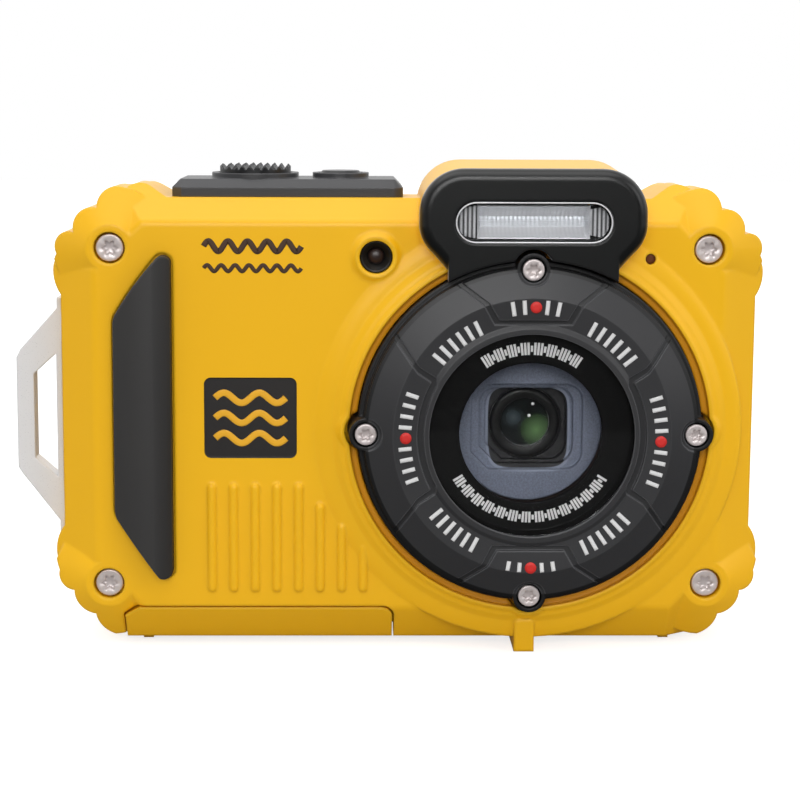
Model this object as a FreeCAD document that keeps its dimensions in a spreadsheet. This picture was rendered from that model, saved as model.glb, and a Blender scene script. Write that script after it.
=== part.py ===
import FreeCAD, Part
import math
import os
import re
import Sketcher

# Compact waterproof camera, millimetres.
# X runs to the right as seen from the front, Y from front to back, Z up.
# Sizes are counted from the middle of the body's underside. Every finished
# piece is then shifted so that the tripod socket's mouth is the origin.

doc = FreeCAD.newDocument("WaterproofCamera")
V = FreeCAD.Vector

SIZES = {
    # Body
    "body_half": 51.4,
    "body_top": 66.3,
    "face_y": -10.4,
    "parting_y": 1.5,
    "rear_y": 13.4,
    "bevel_deep": 3.5,
    "bevel_side": 5.3,
    "bevel_top": 3.4,
    "bevel_bottom": 5.4,
    "bevel_corner": 4.0,
    "face_half": 46.1,
    "face_top": 62.9,
    "face_bottom": 5.4,
    "face_corner": 7.1,
    "rear_inset": 0.3,
    "rear_bevel": 4.4,
    "side_wall": 2.2,
    "floor_wall": 3.0,
    "front_wall": 2.8,
    "rear_wall": 1.8,
    "bevel_wall": 5.4,
    "rear_bevel_wall": 3.9,
    "cavity_corner": 8.0,
    "core_half": 44.0,
    "core_low": 8.0,
    "core_top": 61.0,
    "core_corner": 5.0,
    "back_half": 44.6,
    "back_low": 7.0,
    "back_top": 60.5,
    "back_corner": 3.0,
    "edge_round": 0.6,
    "post_round": 2.8,
    "groove_corner": 7.2,
    "groove_low_corner": 7.9,
    # Scalloped corner guards
    "ear_side_drop": 14.4,
    "ear_low_out": 0.5,
    "ear_low_drop": 8.3,
    "ear_mid_in": 2.3,
    "ear_mid_drop": 5.1,
    "ear_high_in": 5.7,
    "ear_high_drop": 1.5,
    "ear_top_in": 9.7,
    "ear_top_rise": 1.3,
    "ear_shoulder_in": 13.3,
    "ear_shoulder_rise": 1.5,
    "ear_end_in": 15.7,
    "ear_lobe": 1.45,
    "ear_side_lobe": 0.95,
    "ear_last_lobe": 0.6,
    "foot_side_rise": 17.1,
    "foot_low_out": 0.8,
    "foot_low_rise": 10.4,
    "foot_mid_in": 1.6,
    "foot_mid_rise": 7.7,
    "foot_high_in": 4.8,
    "foot_high_rise": 4.1,
    "foot_end_in": 8.5,
    "foot_lobe": 1.0,
    # Corner screws
    "screw_x_top": 43.7,
    "screw_z_top": 59.1,
    "screw_x_low": 44.4,
    "screw_z_low": 9.1,
    "screw_head": 2.0,
    "screw_head_deep": 1.5,
    "screw_shank": 0.95,
    "screw_long": 18.0,
    "screw_bore": 2.3,
    "screw_set": 0.45,
    "boss_round": 3.4,
    "boss_spread": 5.4,
    "drive_round": 0.95,
    "ring_drive_round": 0.75,
    # Lens ring, glass and seal
    "ring_x": 17.6,
    "ring_z": 32.45,
    "ring_y": -16.2,
    "ring_rim_y": -14.4,
    "seat_y": -9.4,
    "ring_face": 24.4,
    "ring_base": 25.2,
    "ring_skirt_y": -12.7,
    "ring_crest": 20.1,
    "ring_step": 0.3,
    "ring_fall": 0.3,
    "ring_mark": 16.3,
    "ring_lip": 14.85,
    "ring_lip_wide": 0.8,
    "ring_lip_y": -15.9,
    "border_wide": 0.7,
    "border_deep": 0.35,
    "glass_front": -15.5,
    "glass_thick": 1.2,
    "glass_round": 15.2,
    "mask_thick": 0.2,
    "mask_hole": 10.4,
    "seal_hole": 11.3,
    "fit_gap": 0.2,
    "lug_reach": 24.0,
    "lug_front": -14.75,
    "lug_round": 2.4,
    "lug_foot": 2.7,
    "lug_bore": 1.85,
    "ring_screw_head": 1.575,
    "ring_screw_deep": 1.4,
    "ring_screw_shank": 0.8,
    "ring_screw_long": 6.1,
    "ring_screw_set": 0.05,
    "moat_round": 26.4,
    "moat_floor_y": -11.3,
    "moat_lug": 3.1,
    "collar_round": 30.0,
    "collar_y": -12.2,
    "collar_land": 0.5,
    "collar_lip": 0.6,
    "collar_foot": 1.5,
    "aperture": 11.4,
    # Tabs of the ring
    "tab_tip": 4.9,
    "tab_tip_z": 16.9,
    "tab_neck": 6.3,
    "tab_neck_z": 19.3,
    "tab_root": 9.9,
    "tab_root_z": 21.9,
    "wing_tip": 7.75,
    "wing_tip_x": 14.5,
    "wing_neck": 9.2,
    "wing_neck_x": 16.6,
    "wing_root": 13.5,
    "wing_root_x": 19.6,
    # Folded lens
    "baffle_flange": 12.6,
    "baffle_round": 11.0,
    "baffle_back": -4.6,
    "step_one_x": 8.3,
    "step_one_z": 6.45,
    "step_two_x": 7.0,
    "step_two_z": 5.8,
    "step_three_x": 6.1,
    "step_three_z": 5.45,
    "step_deep": 1.2,
    "barrel_round": 5.3,
    "lens_round": 4.2,
    "lens_view": 3.7,
    "lens_front": -4.4,
    "housing_left": 8.0,
    "housing_right": 31.0,
    "housing_low": 3.6,
    "housing_top": 41.5,
    "housing_back": 9.2,
    "housing_wall": 1.2,
    "optic_y": 3.0,
    "prism_half": 4.6,
    "rod_round": 0.6,
    "rod_reach": 6.2,
    "rod_gap": 0.05,
    "zoom_low": 14.5,
    "zoom_tall": 4.0,
    "focus_low": 9.2,
    "focus_tall": 2.4,
    "group_half": 5.2,
    "group_lens": 3.4,
    "lead_x": 27.0,
    "lead_round": 0.7,
    "motor_round": 2.5,
    "motor_low": 30.5,
    "motor_tall": 9.0,
    "sensor_half": 4.0,
    "sensor_thick": 1.4,
    # Flash
    "flash_y": -14.9,
    "flash_half": 16.4,
    "flash_top": 70.9,
    "flash_round": 6.5,
    "flash_side_low": 62.6,
    "flash_waist": 12.2,
    "flash_waist_z": 56.2,
    "flash_turn_in": 2.0,
    "flash_turn_z": 58.7,
    "flash_turn": 0.43,
    "flash_thick": 2.5,
    "flash_rim": 1.6,
    "flash_inset": 0.1,
    "hump_rise": 0.9,
    "hump_back": 9.3,
    "lamp_z": 63.24,
    "lamp_half": 11.4,
    "lamp_tall": 6.2,
    "reflector_half": 8.1,
    "reflector_tall": 4.8,
    "reflector_deep": 3.8,
    "tube_round": 0.8,
    "tube_half": 9.8,
    "capacitor_round": 5.0,
    "capacitor_tall": 27.0,
    "capacitor_low": 14.0,
    # Self-timer lamp and microphone
    "timer_x": -4.94,
    "timer_z": 57.9,
    "timer_hole": 2.42,
    "timer_collar": 4.5,
    "timer_crest": 3.0,
    "timer_proud": 0.8,
    "mic_x": 35.05,
    "mic_z": 57.7,
    "mic_hole": 0.78,
    # Grip pad and ribs
    "pad_left": -43.25,
    "pad_right": -34.8,
    "pad_side_top": 48.2,
    "pad_side_low": 20.3,
    "pad_tip_top": 57.8,
    "pad_tip_low": 10.55,
    "pad_tip_wide": 1.9,
    "pad_proud": 2.5,
    "pad_fall": 2.6,
    "pad_fall_deep": 1.3,
    "pad_sink": 0.6,
    "pad_gap": 0.3,
    "rib_first": -29.07,
    "rib_pitch": 3.2,
    "rib_round": 0.7,
    "rib_low": 8.5,
    "rib_top": 23.7,
    "rib_step": 3.0,
    # Top controls
    "plate_left": -35.1,
    "plate_right": -0.9,
    "plate_front": -5.9,
    "plate_back": 8.8,
    "plate_tall": 2.6,
    "plate_bevel": 1.2,
    "plate_floor": 1.2,
    "button_y": 1.6,
    "shutter_x": -23.1,
    "shutter_round": 5.35,
    "shutter_top": 71.0,
    "shutter_collar": 6.55,
    "power_x": -10.2,
    "power_round": 3.15,
    "power_top": 70.0,
    "power_collar": 4.25,
    "collar_proud": 0.8,
    "button_gap": 0.3,
    "stem_round": 2.0,
    "stem_flange": 2.8,
    "stem_low": 64.3,
    "flange_thick": 0.7,
    "shutter_travel": 0.8,
    "spike_pitch": 1.1,
    "spike_deep": 0.8,
    "switch_wide": 5.0,
    "switch_drop": 0.9,
    "switch_tall": 2.4,
    "board_thick": 1.0,
    # Strap lug
    "lug_thick": 3.0,
    "lug_y": -2.2,
    "lug_plate_out": 0.8,
    "lug_neck_out": 1.5,
    "lug_hole_out": 5.1,
    "lug_reach_out": 7.7,
    "lug_top": 50.9,
    "lug_low": 14.7,
    "lug_slope_top": 43.0,
    "lug_slope_low": 24.4,
    "tongue_deep": 3.6,
    "tongue_tall": 4.0,
    "tongue_top": 48.6,
    "tongue_low": 17.0,
    "lug_pin_round": 0.8,
    # Battery door
    "door_left": -42.2,
    "door_right": -2.3,
    "door_top": 5.4,
    "door_lip": 2.0,
    "door_thick": 1.6,
    "door_gap": 0.25,
    "door_cut_x": 2.2,
    "door_cut_z": 1.4,
    "door_round": 1.7,
    "hinge_y": 8.8,
    "hinge_z": 1.7,
    "knuckle_round": 1.7,
    "pin_round": 0.75,
    "pin_reach": 1.6,
    "swing_back": 2.5,
    "mouth_left": -40.2,
    "mouth_right": -5.8,
    "mouth_front": -4.1,
    "mouth_back": 7.0,
    "gasket_wide": 1.0,
    "gasket_tall": 1.1,
    "latch_x": -14.0,
    "latch_long": 7.0,
    "latch_wide": 5.0,
    "latch_deep": 0.9,
    "latch_travel": 2.5,
    "latch_y": -1.5,
    "bolt_wide": 2.0,
    "lock_long": 2.4,
    "lock_travel": 1.2,
    # Bay, battery, card and port
    "bay_wall": 0.9,
    "bay_top": 46.6,
    "battery_wide": 31.0,
    "battery_deep": 5.8,
    "battery_tall": 40.0,
    "cell_gap": 0.2,
    "card_wide": 24.0,
    "card_deep": 2.1,
    "card_tall": 32.0,
    "port_wide": 7.6,
    "port_deep": 2.7,
    "port_tall": 5.6,
    "bay_lift": 0.3,
    # Feet and tripod socket
    "foot_drop": 1.06,
    "foot_x": 17.3,
    "foot_wide": 3.0,
    "foot_front": -11.5,
    "foot_back": -3.0,
    "foot_rise": 4.0,
    "foot_round": 0.7,
    "skid_x": 40.1,
    "skid_wide": 1.5,
    "skid_front": -4.4,
    "skid_back": 6.5,
    "tripod_x": 3.5,
    "tripod_y": 6.6,
    "socket_bore": 2.6,
    "socket_deep": 5.0,
    "socket_round": 3.4,
    "socket_flange": 3.8,
    "socket_tall": 5.8,
    "socket_boss": 4.2,
    # Display and rear keys
    "display_x": 15.75,
    "display_z": 33.5,
    "display_half": 30.0,
    "display_half_z": 24.0,
    "display_round": 2.0,
    "display_thick": 1.2,
    "panel_half": 28.0,
    "panel_half_z": 21.5,
    "panel_thick": 2.0,
    "view_half": 27.45,
    "view_half_z": 20.6,
    "main_y": 8.4,
    "main_thick": 1.0,
    "main_left": -45.0,
    "main_right": 6.0,
    "main_low": 7.0,
    "main_top": 58.5,
    "keys_left": -46.2,
    "keys_right": -16.2,
    "keys_low": 8.0,
    "keys_top": 61.0,
    "keys_sink": 0.6,
    "key_gap": 0.3,
    "key_flange": 0.7,
    "key_stem": 0.5,
    "key_stem_round": 1.0,
    "key_flange_out": 0.9,
    "dome_round": 1.6,
    "dome_gap": 0.6,
    "pad_x": -30.6,
    "pad_z": 32.0,
    "pad_step": 8.2,
    "speaker_z": 12.6,
    "speaker_round": 4.0,
    "speaker_thick": 2.0,
    "speaker_slot": 2.3,
    "speaker_pitch": 1.8,
}

# Places that follow other sizes.
DERIVED = {
    "lug_plate_x": "-(body_half + lug_plate_out)",
    "lug_x_in": "-(body_half + lug_neck_out)",
    "lug_hole_x": "-(body_half + lug_hole_out)",
    "lug_x_out": "-(body_half + lug_reach_out)",
}

sheet = doc.addObject("Spreadsheet::Sheet", "Sizes")
for row, (alias, value) in enumerate(SIZES.items(), start=1):
    sheet.set("A%d" % row, alias)
    sheet.set("B%d" % row, str(value))
    sheet.setAlias("B%d" % row, alias)
doc.recompute()

WORD = re.compile(r"[a-z_]+")
NODES = {}


# Binding sizes


def bound(text):
    """The expression with each size's name pointing at the sheet, and each
    place that follows other sizes written out."""
    def expand(match):
        word = match.group()
        if word in DERIVED:
            return "(%s)" % bound(DERIVED[word])
        return "Sizes." + word if word in SIZES else word

    return WORD.sub(expand, str(text))


def size(text):
    return float(sheet.evalExpression(bound(text)))


def place(thing, x="0", y="0", z="0"):
    for axis, text in zip("xyz", (x, y, z)):
        thing.setExpression("Placement.Base." + axis, bound(text))
    return thing


def finish(name, thing, x="0", y="0", z="0"):
    """Name a finished piece and put it in the tripod socket's frame."""
    if thing.TypeId in ("Part::Box", "Part::Cylinder"):
        thing = group(thing)
    thing.Label = name
    place(thing, "(%s) - tripod_x" % x, "(%s) - tripod_y" % y, z)
    NODES[name] = thing
    return thing


# Simple solids


def block(x0, x1, y0, y1, z0, z1):
    box = doc.addObject("Part::Box", "Block")
    box.setExpression("Length", bound("(%s) - (%s)" % (x1, x0)))
    box.setExpression("Width", bound("(%s) - (%s)" % (y1, y0)))
    box.setExpression("Height", bound("(%s) - (%s)" % (z1, z0)))
    return place(box, x0, y0, z0)


TURNS = {
    "X": FreeCAD.Rotation(V(0, 1, 0), 90),
    "Y": FreeCAD.Rotation(V(1, 0, 0), -90),
    "Z": FreeCAD.Rotation(),
}


def bar(axis, x, y, z, radius, length):
    rod = doc.addObject("Part::Cylinder", "Bar")
    rod.Placement = FreeCAD.Placement(V(), TURNS[axis])
    rod.setExpression("Radius", bound(radius))
    rod.setExpression("Height", bound(length))
    return place(rod, x, y, z)


def taper(axis, x, y, z, start, end, length):
    cone = doc.addObject("Part::Cone", "Taper")
    cone.Placement = FreeCAD.Placement(V(), TURNS[axis])
    cone.setExpression("Radius1", bound(start))
    cone.setExpression("Radius2", bound(end))
    cone.setExpression("Height", bound(length))
    return place(cone, x, y, z)


def ball(x, y, z, radius):
    sphere = doc.addObject("Part::Sphere", "Ball")
    sphere.setExpression("Radius", bound(radius))
    return place(sphere, x, y, z)


def stadium(x, z, half, tall, low, high):
    """A slot-shaped prism along Y with round ends."""
    radius, length = "(%s) / 2" % tall, "(%s) - (%s)" % (high, low)
    left, right = "%s - (%s) + %s" % (x, half, radius), "%s + (%s) - %s" % (x, half, radius)
    middle = block(left, right, low, high, "%s - %s" % (z, radius), "%s + %s" % (z, radius))
    return fuse(middle, *[bar("Y", end, low, z, radius, length) for end in (left, right)])


def hexagon(x, y, z, radius, length):
    """A six-sided prism that points along Y."""
    prism = doc.addObject("Part::Prism", "Hexagon")
    prism.Polygon = 6
    prism.Placement = FreeCAD.Placement(V(), TURNS["Y"])
    prism.setExpression("Circumradius", bound(radius))
    prism.setExpression("Height", bound(length))
    return place(prism, x, y, z)


# Booleans


def fuse(*pieces):
    if len(pieces) == 1:
        return pieces[0]
    joined = doc.addObject("Part::MultiFuse", "Joined")
    joined.Shapes = list(pieces)
    return joined


def cut(base, *tools):
    rest = doc.addObject("Part::Cut", "Rest")
    rest.Base = base
    rest.Tool = fuse(*tools)
    return rest


def common(first, second):
    shared = doc.addObject("Part::MultiCommon", "Shared")
    shared.Shapes = [first, second]
    return shared


def group(*pieces):
    several = doc.addObject("Part::Compound", "Several")
    several.Links = list(pieces)
    return several


# Sketches


def new_body():
    return doc.addObject("PartDesign::Body", "Body")


def sketch_on(body, plane, position="0"):
    """A sketch on an origin plane, moved to a position along that plane's axis."""
    sketch = body.newObject("Sketcher::SketchObject", "Profile")
    base = [item for item in body.Origin.OriginFeatures if item.Role == plane + "_Plane"]
    sketch.AttachmentSupport = [(base[0], "")]
    sketch.MapMode = "FlatFace"
    sign = "-" if plane == "XZ" else ""
    sketch.setExpression("AttachmentOffset.Base.z", bound("%s(%s)" % (sign, position)))
    return sketch


def bind(sketch, constraint, name, text):
    index = sketch.addConstraint(constraint)
    sketch.renameConstraint(index, name)
    sketch.setExpression("Constraints." + name, bound(text))


def arc_between(start, end, rise):
    """An arc that bulges to the right of the way from start to end."""
    chord = end - start
    reach = abs(rise)
    radius = chord.Length ** 2 / (8 * reach) + reach / 2
    side = V(-chord.y, chord.x, 0) / chord.Length
    centre = (start + end) / 2 + side * (radius - reach) * (1 if rise > 0 else -1)
    first, last = (start, end) if rise > 0 else (end, start)
    angles = [math.atan2(point.y - centre.y, point.x - centre.x) for point in (first, last)]
    if angles[1] < angles[0]:
        angles[1] += 2 * math.pi
    return Part.ArcOfCircle(Part.Circle(centre, V(0, 0, 1), radius), *angles)


def draw(sketch, steps, tag=""):
    """A closed outline. A third value in a step makes the edge that reaches it
    an arc, and says how far the arc bulges to the right of the way it is drawn."""
    points = [V(size(step[0]), size(step[1]), 0) for step in steps]
    count = len(steps)
    ends = []
    for number in range(count):
        start, end = points[number], points[(number + 1) % count]
        step = steps[(number + 1) % count]
        if len(step) < 3:
            ends.append((sketch.addGeometry(Part.LineSegment(start, end)), 1, 2))
            continue
        rise = size(step[2])
        edge = sketch.addGeometry(arc_between(start, end, rise))
        ends.append((edge, 1, 2) if rise > 0 else (edge, 2, 1))
    for number in range(count):
        edge, first, last = ends[number]
        following, joint, _ = ends[(number + 1) % count]
        sketch.addConstraint(Sketcher.Constraint("Coincident", edge, last, following, joint))
        x, y = points[number].x, points[number].y
        across = Sketcher.Constraint("DistanceX", -1, 1, edge, first, x)
        upward = Sketcher.Constraint("DistanceY", -1, 1, edge, first, y)
        bind(sketch, across, "x%s%d" % (tag, number), steps[number][0])
        bind(sketch, upward, "y%s%d" % (tag, number), steps[number][1])
        step, before = steps[(number + 1) % count], steps[number]
        if len(step) == 3:
            chord = "((%s) - (%s))^2 + ((%s) - (%s))^2" % (step[0], before[0], step[1], before[1])
            radius = "(%s) / (8 * abs(%s)) + abs(%s) / 2" % (chord, step[2], step[2])
            value = Sketcher.Constraint("Radius", edge, size(radius))
            bind(sketch, value, "r%s%d" % (tag, number), radius)


def pad(body, plane, steps, low, high):
    sketch = sketch_on(body, plane, high if plane == "XZ" else low)
    draw(sketch, steps)
    feature = body.newObject("PartDesign::Pad", "Pad")
    feature.Profile = sketch
    feature.setExpression("Length", bound("(%s) - (%s)" % (high, low)))
    sketch.Visibility = False
    return feature


def pocket(body, plane, steps, low, high):
    sketch = sketch_on(body, plane, low if plane == "XZ" else high)
    draw(sketch, steps)
    feature = body.newObject("PartDesign::Pocket", "Pocket")
    feature.Profile = sketch
    feature.setExpression("Length", bound("(%s) - (%s)" % (high, low)))
    return feature


def slab(plane, steps, low, high):
    body = new_body()
    pad(body, plane, steps, low, high)
    return body


def turned(steps, axis="Y"):
    """A solid of revolution. Each step is (place along the axis, radius), and
    for a vertical axis (radius, height)."""
    body = new_body()
    sketch = sketch_on(body, "YZ" if axis == "Y" else "XZ")
    draw(sketch, steps)
    feature = body.newObject("PartDesign::Revolution", "Revolution")
    feature.Profile = sketch
    feature.ReferenceAxis = (sketch, ["H_Axis" if axis == "Y" else "V_Axis"])
    feature.Angle = 360
    return body


def loft(plane, first, first_at, second, second_at):
    body = new_body()
    start = sketch_on(body, plane, first_at)
    draw(start, first)
    end = sketch_on(body, plane, second_at)
    draw(end, second)
    feature = body.newObject("PartDesign::AdditiveLoft", "Loft")
    feature.Profile = start
    feature.Sections = [end]
    feature.Ruled = True
    return body


def edges_where(shape, test):
    return ["Edge%d" % number for number, edge in enumerate(shape.Edges, start=1) if test(edge)]


def dress(body, kind, amount, test):
    """Fillet or chamfer the edges of a body's last feature that pass a test."""
    doc.recompute()
    base = body.Tip
    feature = body.newObject("PartDesign::" + kind, kind)
    feature.Base = (base, edges_where(base.Shape, test))
    feature.setExpression("Radius" if kind == "Fillet" else "Size", bound(amount))
    return feature


# Outlines


QUARTER = "(1 - sqrt(0.5))"


def rounded(x0, x1, z0, z1, radius):
    bulge = "%s * (%s)" % (QUARTER, radius)
    left, right = "(%s) + (%s)" % (x0, radius), "(%s) - (%s)" % (x1, radius)
    low, high = "(%s) + (%s)" % (z0, radius), "(%s) - (%s)" % (z1, radius)
    return [(left, z0), (right, z0), (x1, low, bulge), (x1, high), (right, z1, bulge),
            (left, z1), (x0, high, bulge), (x0, low)]


def octagon(x0, x1, z0, z1, corner, low_corner=None):
    low = low_corner or corner
    return [("(%s) + (%s)" % (x0, low), z0), ("(%s) - (%s)" % (x1, low), z0),
            (x1, "(%s) + (%s)" % (z0, low)), (x1, "(%s) - (%s)" % (z1, corner)),
            ("(%s) - (%s)" % (x1, corner), z1), ("(%s) + (%s)" % (x0, corner), z1),
            (x0, "(%s) - (%s)" % (z1, corner)), (x0, "(%s) + (%s)" % (z0, low))]


def scalloped(inset="0"):
    """The body's outline with its four scalloped corner guards."""
    half = "(body_half - (%s))" % inset
    top = "(body_top - (%s))" % inset
    low = "(%s)" % inset
    right = [
        (half + " - foot_end_in", low),
        (half + " - foot_high_in", low + " + foot_high_rise", "foot_lobe"),
        (half + " - foot_mid_in", low + " + foot_mid_rise", "foot_lobe"),
        (half + " + foot_low_out", low + " + foot_low_rise", "foot_lobe"),
        (half, low + " + foot_side_rise", "foot_lobe"),
        (half, top + " - ear_side_drop"),
        (half + " + ear_low_out", top + " - ear_low_drop", "ear_side_lobe"),
        (half + " - ear_mid_in", top + " - ear_mid_drop", "ear_lobe"),
        (half + " - ear_high_in", top + " - ear_high_drop", "ear_lobe"),
        (half + " - ear_top_in", top + " + ear_top_rise", "ear_lobe"),
        (half + " - ear_shoulder_in", top + " + ear_shoulder_rise", "ear_last_lobe"),
        (half + " - ear_end_in", top),
    ]
    # The left side is the same outline run backwards, so each arc's bulge
    # belongs to the point before it.
    left = []
    for number in range(len(right) - 1, -1, -1):
        mirrored = ("-(%s)" % right[number][0], right[number][1])
        after = right[number + 1] if number + 1 < len(right) else ()
        left.append(mirrored + after[2:3])
    return right + left


def flash_outline(grow="0", rise="0"):
    left, right = "ring_x - flash_half - (%s)" % grow, "ring_x + flash_half + (%s)" % grow
    waist_left = "ring_x - flash_waist - (%s)" % grow
    waist_right = "ring_x + flash_waist + (%s)" % grow
    top = "flash_top + (%s) + (%s)" % (grow, rise)
    bulge = QUARTER + " * flash_round"
    return [(waist_left, "flash_waist_z - 2"), (waist_right, "flash_waist_z - 2"),
            (waist_right, "flash_waist_z"), (right + " - flash_turn_in", "flash_turn_z"),
            (right, "flash_side_low", "flash_turn"),
            (right, top + " - flash_round"), (right + " - flash_round", top, bulge),
            (left + " + flash_round", top), (left, top + " - flash_round", bulge),
            (left, "flash_side_low"), (left + " + flash_turn_in", "flash_turn_z", "flash_turn"),
            (waist_left, "flash_waist_z")]


def grip_outline(grow="0"):
    left, right = "pad_left - (%s)" % grow, "pad_right + (%s)" % grow
    tip = right + " - pad_tip_wide - 2 * (%s)" % grow
    top, low = "pad_tip_top + (%s)" % grow, "pad_tip_low - (%s)" % grow
    return [(tip, low), (right, low + " + 0.6", "0.55"), (right, top + " - 0.6"),
            (tip, top, "0.55"), (left + " + 0.35", "pad_side_top + 1.2", "0.25"),
            (left, "pad_side_top", "0.05"), (left, "pad_side_low"),
            (left + " + 0.35", "pad_side_low - 1.2", "0.05")]


def bevel_edge(side):
    """How far the rounding between the face and a bevel reaches across, how
    far it reaches back, and how far its arc bulges."""
    slope = "sqrt((%s)^2 + bevel_deep^2)" % side
    return ("edge_round * (%s) / %s" % (side, slope), "edge_round * bevel_deep / %s" % slope,
            "edge_round * bevel_deep / %s / 4" % slope)


def bevelled(half, side, low, high):
    """A prism along Z whose front is the face between two equal bevels."""
    across, back, bulge = bevel_edge(side)
    wide = "(%s) + (%s) / bevel_deep * (parting_y - face_y + 1)" % (half, side)
    front = "(%s) - edge_round" % half
    foot = "(%s) + %s" % (half, across)
    return slab("XY", [
        (wide, "parting_y + 1"), ("-(%s)" % wide, "parting_y + 1"),
        ("-(%s)" % foot, "face_y + " + back), ("-(%s)" % front, "face_y", bulge),
        (front, "face_y"), (foot, "face_y + " + back, bulge),
    ], low, high)


def bevelled_face():
    """The face with its eight bevels, where a prism for top and bottom, one
    for the sides and two on the diagonals meet."""
    deep = "parting_y - face_y + 1"
    top_across, top_back, top_bulge = bevel_edge("bevel_top")
    low_across, low_back, low_bulge = bevel_edge("bevel_bottom")
    upright = slab("YZ", [
        ("parting_y + 1", "face_bottom - bevel_bottom / bevel_deep * (%s)" % deep),
        ("parting_y + 1", "face_top + bevel_top / bevel_deep * (%s)" % deep),
        ("face_y + " + top_back, "face_top + " + top_across),
        ("face_y", "face_top - edge_round", top_bulge),
        ("face_y", "face_bottom + edge_round"),
        ("face_y + " + low_back, "face_bottom - " + low_across, low_bulge),
    ], "-2 * body_half", "2 * body_half")
    sides = bevelled("face_half", "bevel_side", "-body_half", "2 * body_half")
    middle = "(face_top + face_bottom) / 2"
    reach = "(face_half + (face_top - face_bottom) / 2 - face_corner) / sqrt(2)"
    diagonals = []
    for angle in (45, -45):
        prism = bevelled(reach, "bevel_corner", "-2 * body_half", "2 * body_half")
        prism.Placement = FreeCAD.Placement(V(), FreeCAD.Rotation(V(0, 1, 0), angle))
        diagonals.append(place(prism, "0", "0", middle))
    return common(common(upright, sides), common(*diagonals))


SCREWS = [("-screw_x_top", "screw_z_top"), ("screw_x_top", "screw_z_top"),
          ("-screw_x_low", "screw_z_low"), ("screw_x_low", "screw_z_low")]
LUGS = [("0", "lug_reach"), ("lug_reach", "0"), ("0", "-lug_reach"), ("-lug_reach", "0")]


# Front shell


def door_pocket(gap):
    """The battery door's envelope, or the room for it when a gap is given."""
    reach = "10" if gap != "0" else "0"
    lip_inside = "face_y + door_lip + (%s)" % gap
    knee = "face_y + door_lip + (door_top - door_thick) * bevel_deep / bevel_bottom + (%s)" % gap
    side_steps = [
        ("hinge_y", "-(%s)" % reach),
        ("hinge_y", "door_thick + (%s)" % gap),
        (knee, "door_thick + (%s)" % gap),
        (lip_inside, "door_top + (%s)" % gap),
        ("face_y - (%s)" % reach, "door_top + (%s)" % gap),
    ]
    if gap == "0":
        side_steps.append(("face_y + bevel_deep * door_top / bevel_bottom", "0"))
    else:
        side_steps.append(("face_y - (%s)" % reach, "-(%s)" % reach))
    left, right = "door_left - (%s)" % gap, "door_right + (%s)" % gap
    top = "door_top + (%s)" % gap
    front_steps = [
        (left, "-10"), (right, "-10"), (right, top + " - door_round"),
        (right + " - door_round", top, QUARTER + " * door_round"),
        (left + " + door_cut_x", top), (left, top + " - door_cut_z"),
    ]
    side = slab("YZ", side_steps, left, right)
    front = slab("XZ", front_steps, "face_y - 11", "hinge_y + 1")
    return common(side, front)


def foot_edge(edge):
    """An edge of the foot's front."""
    return edge.BoundBox.YMax < size("foot_front") + 0.01


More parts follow.
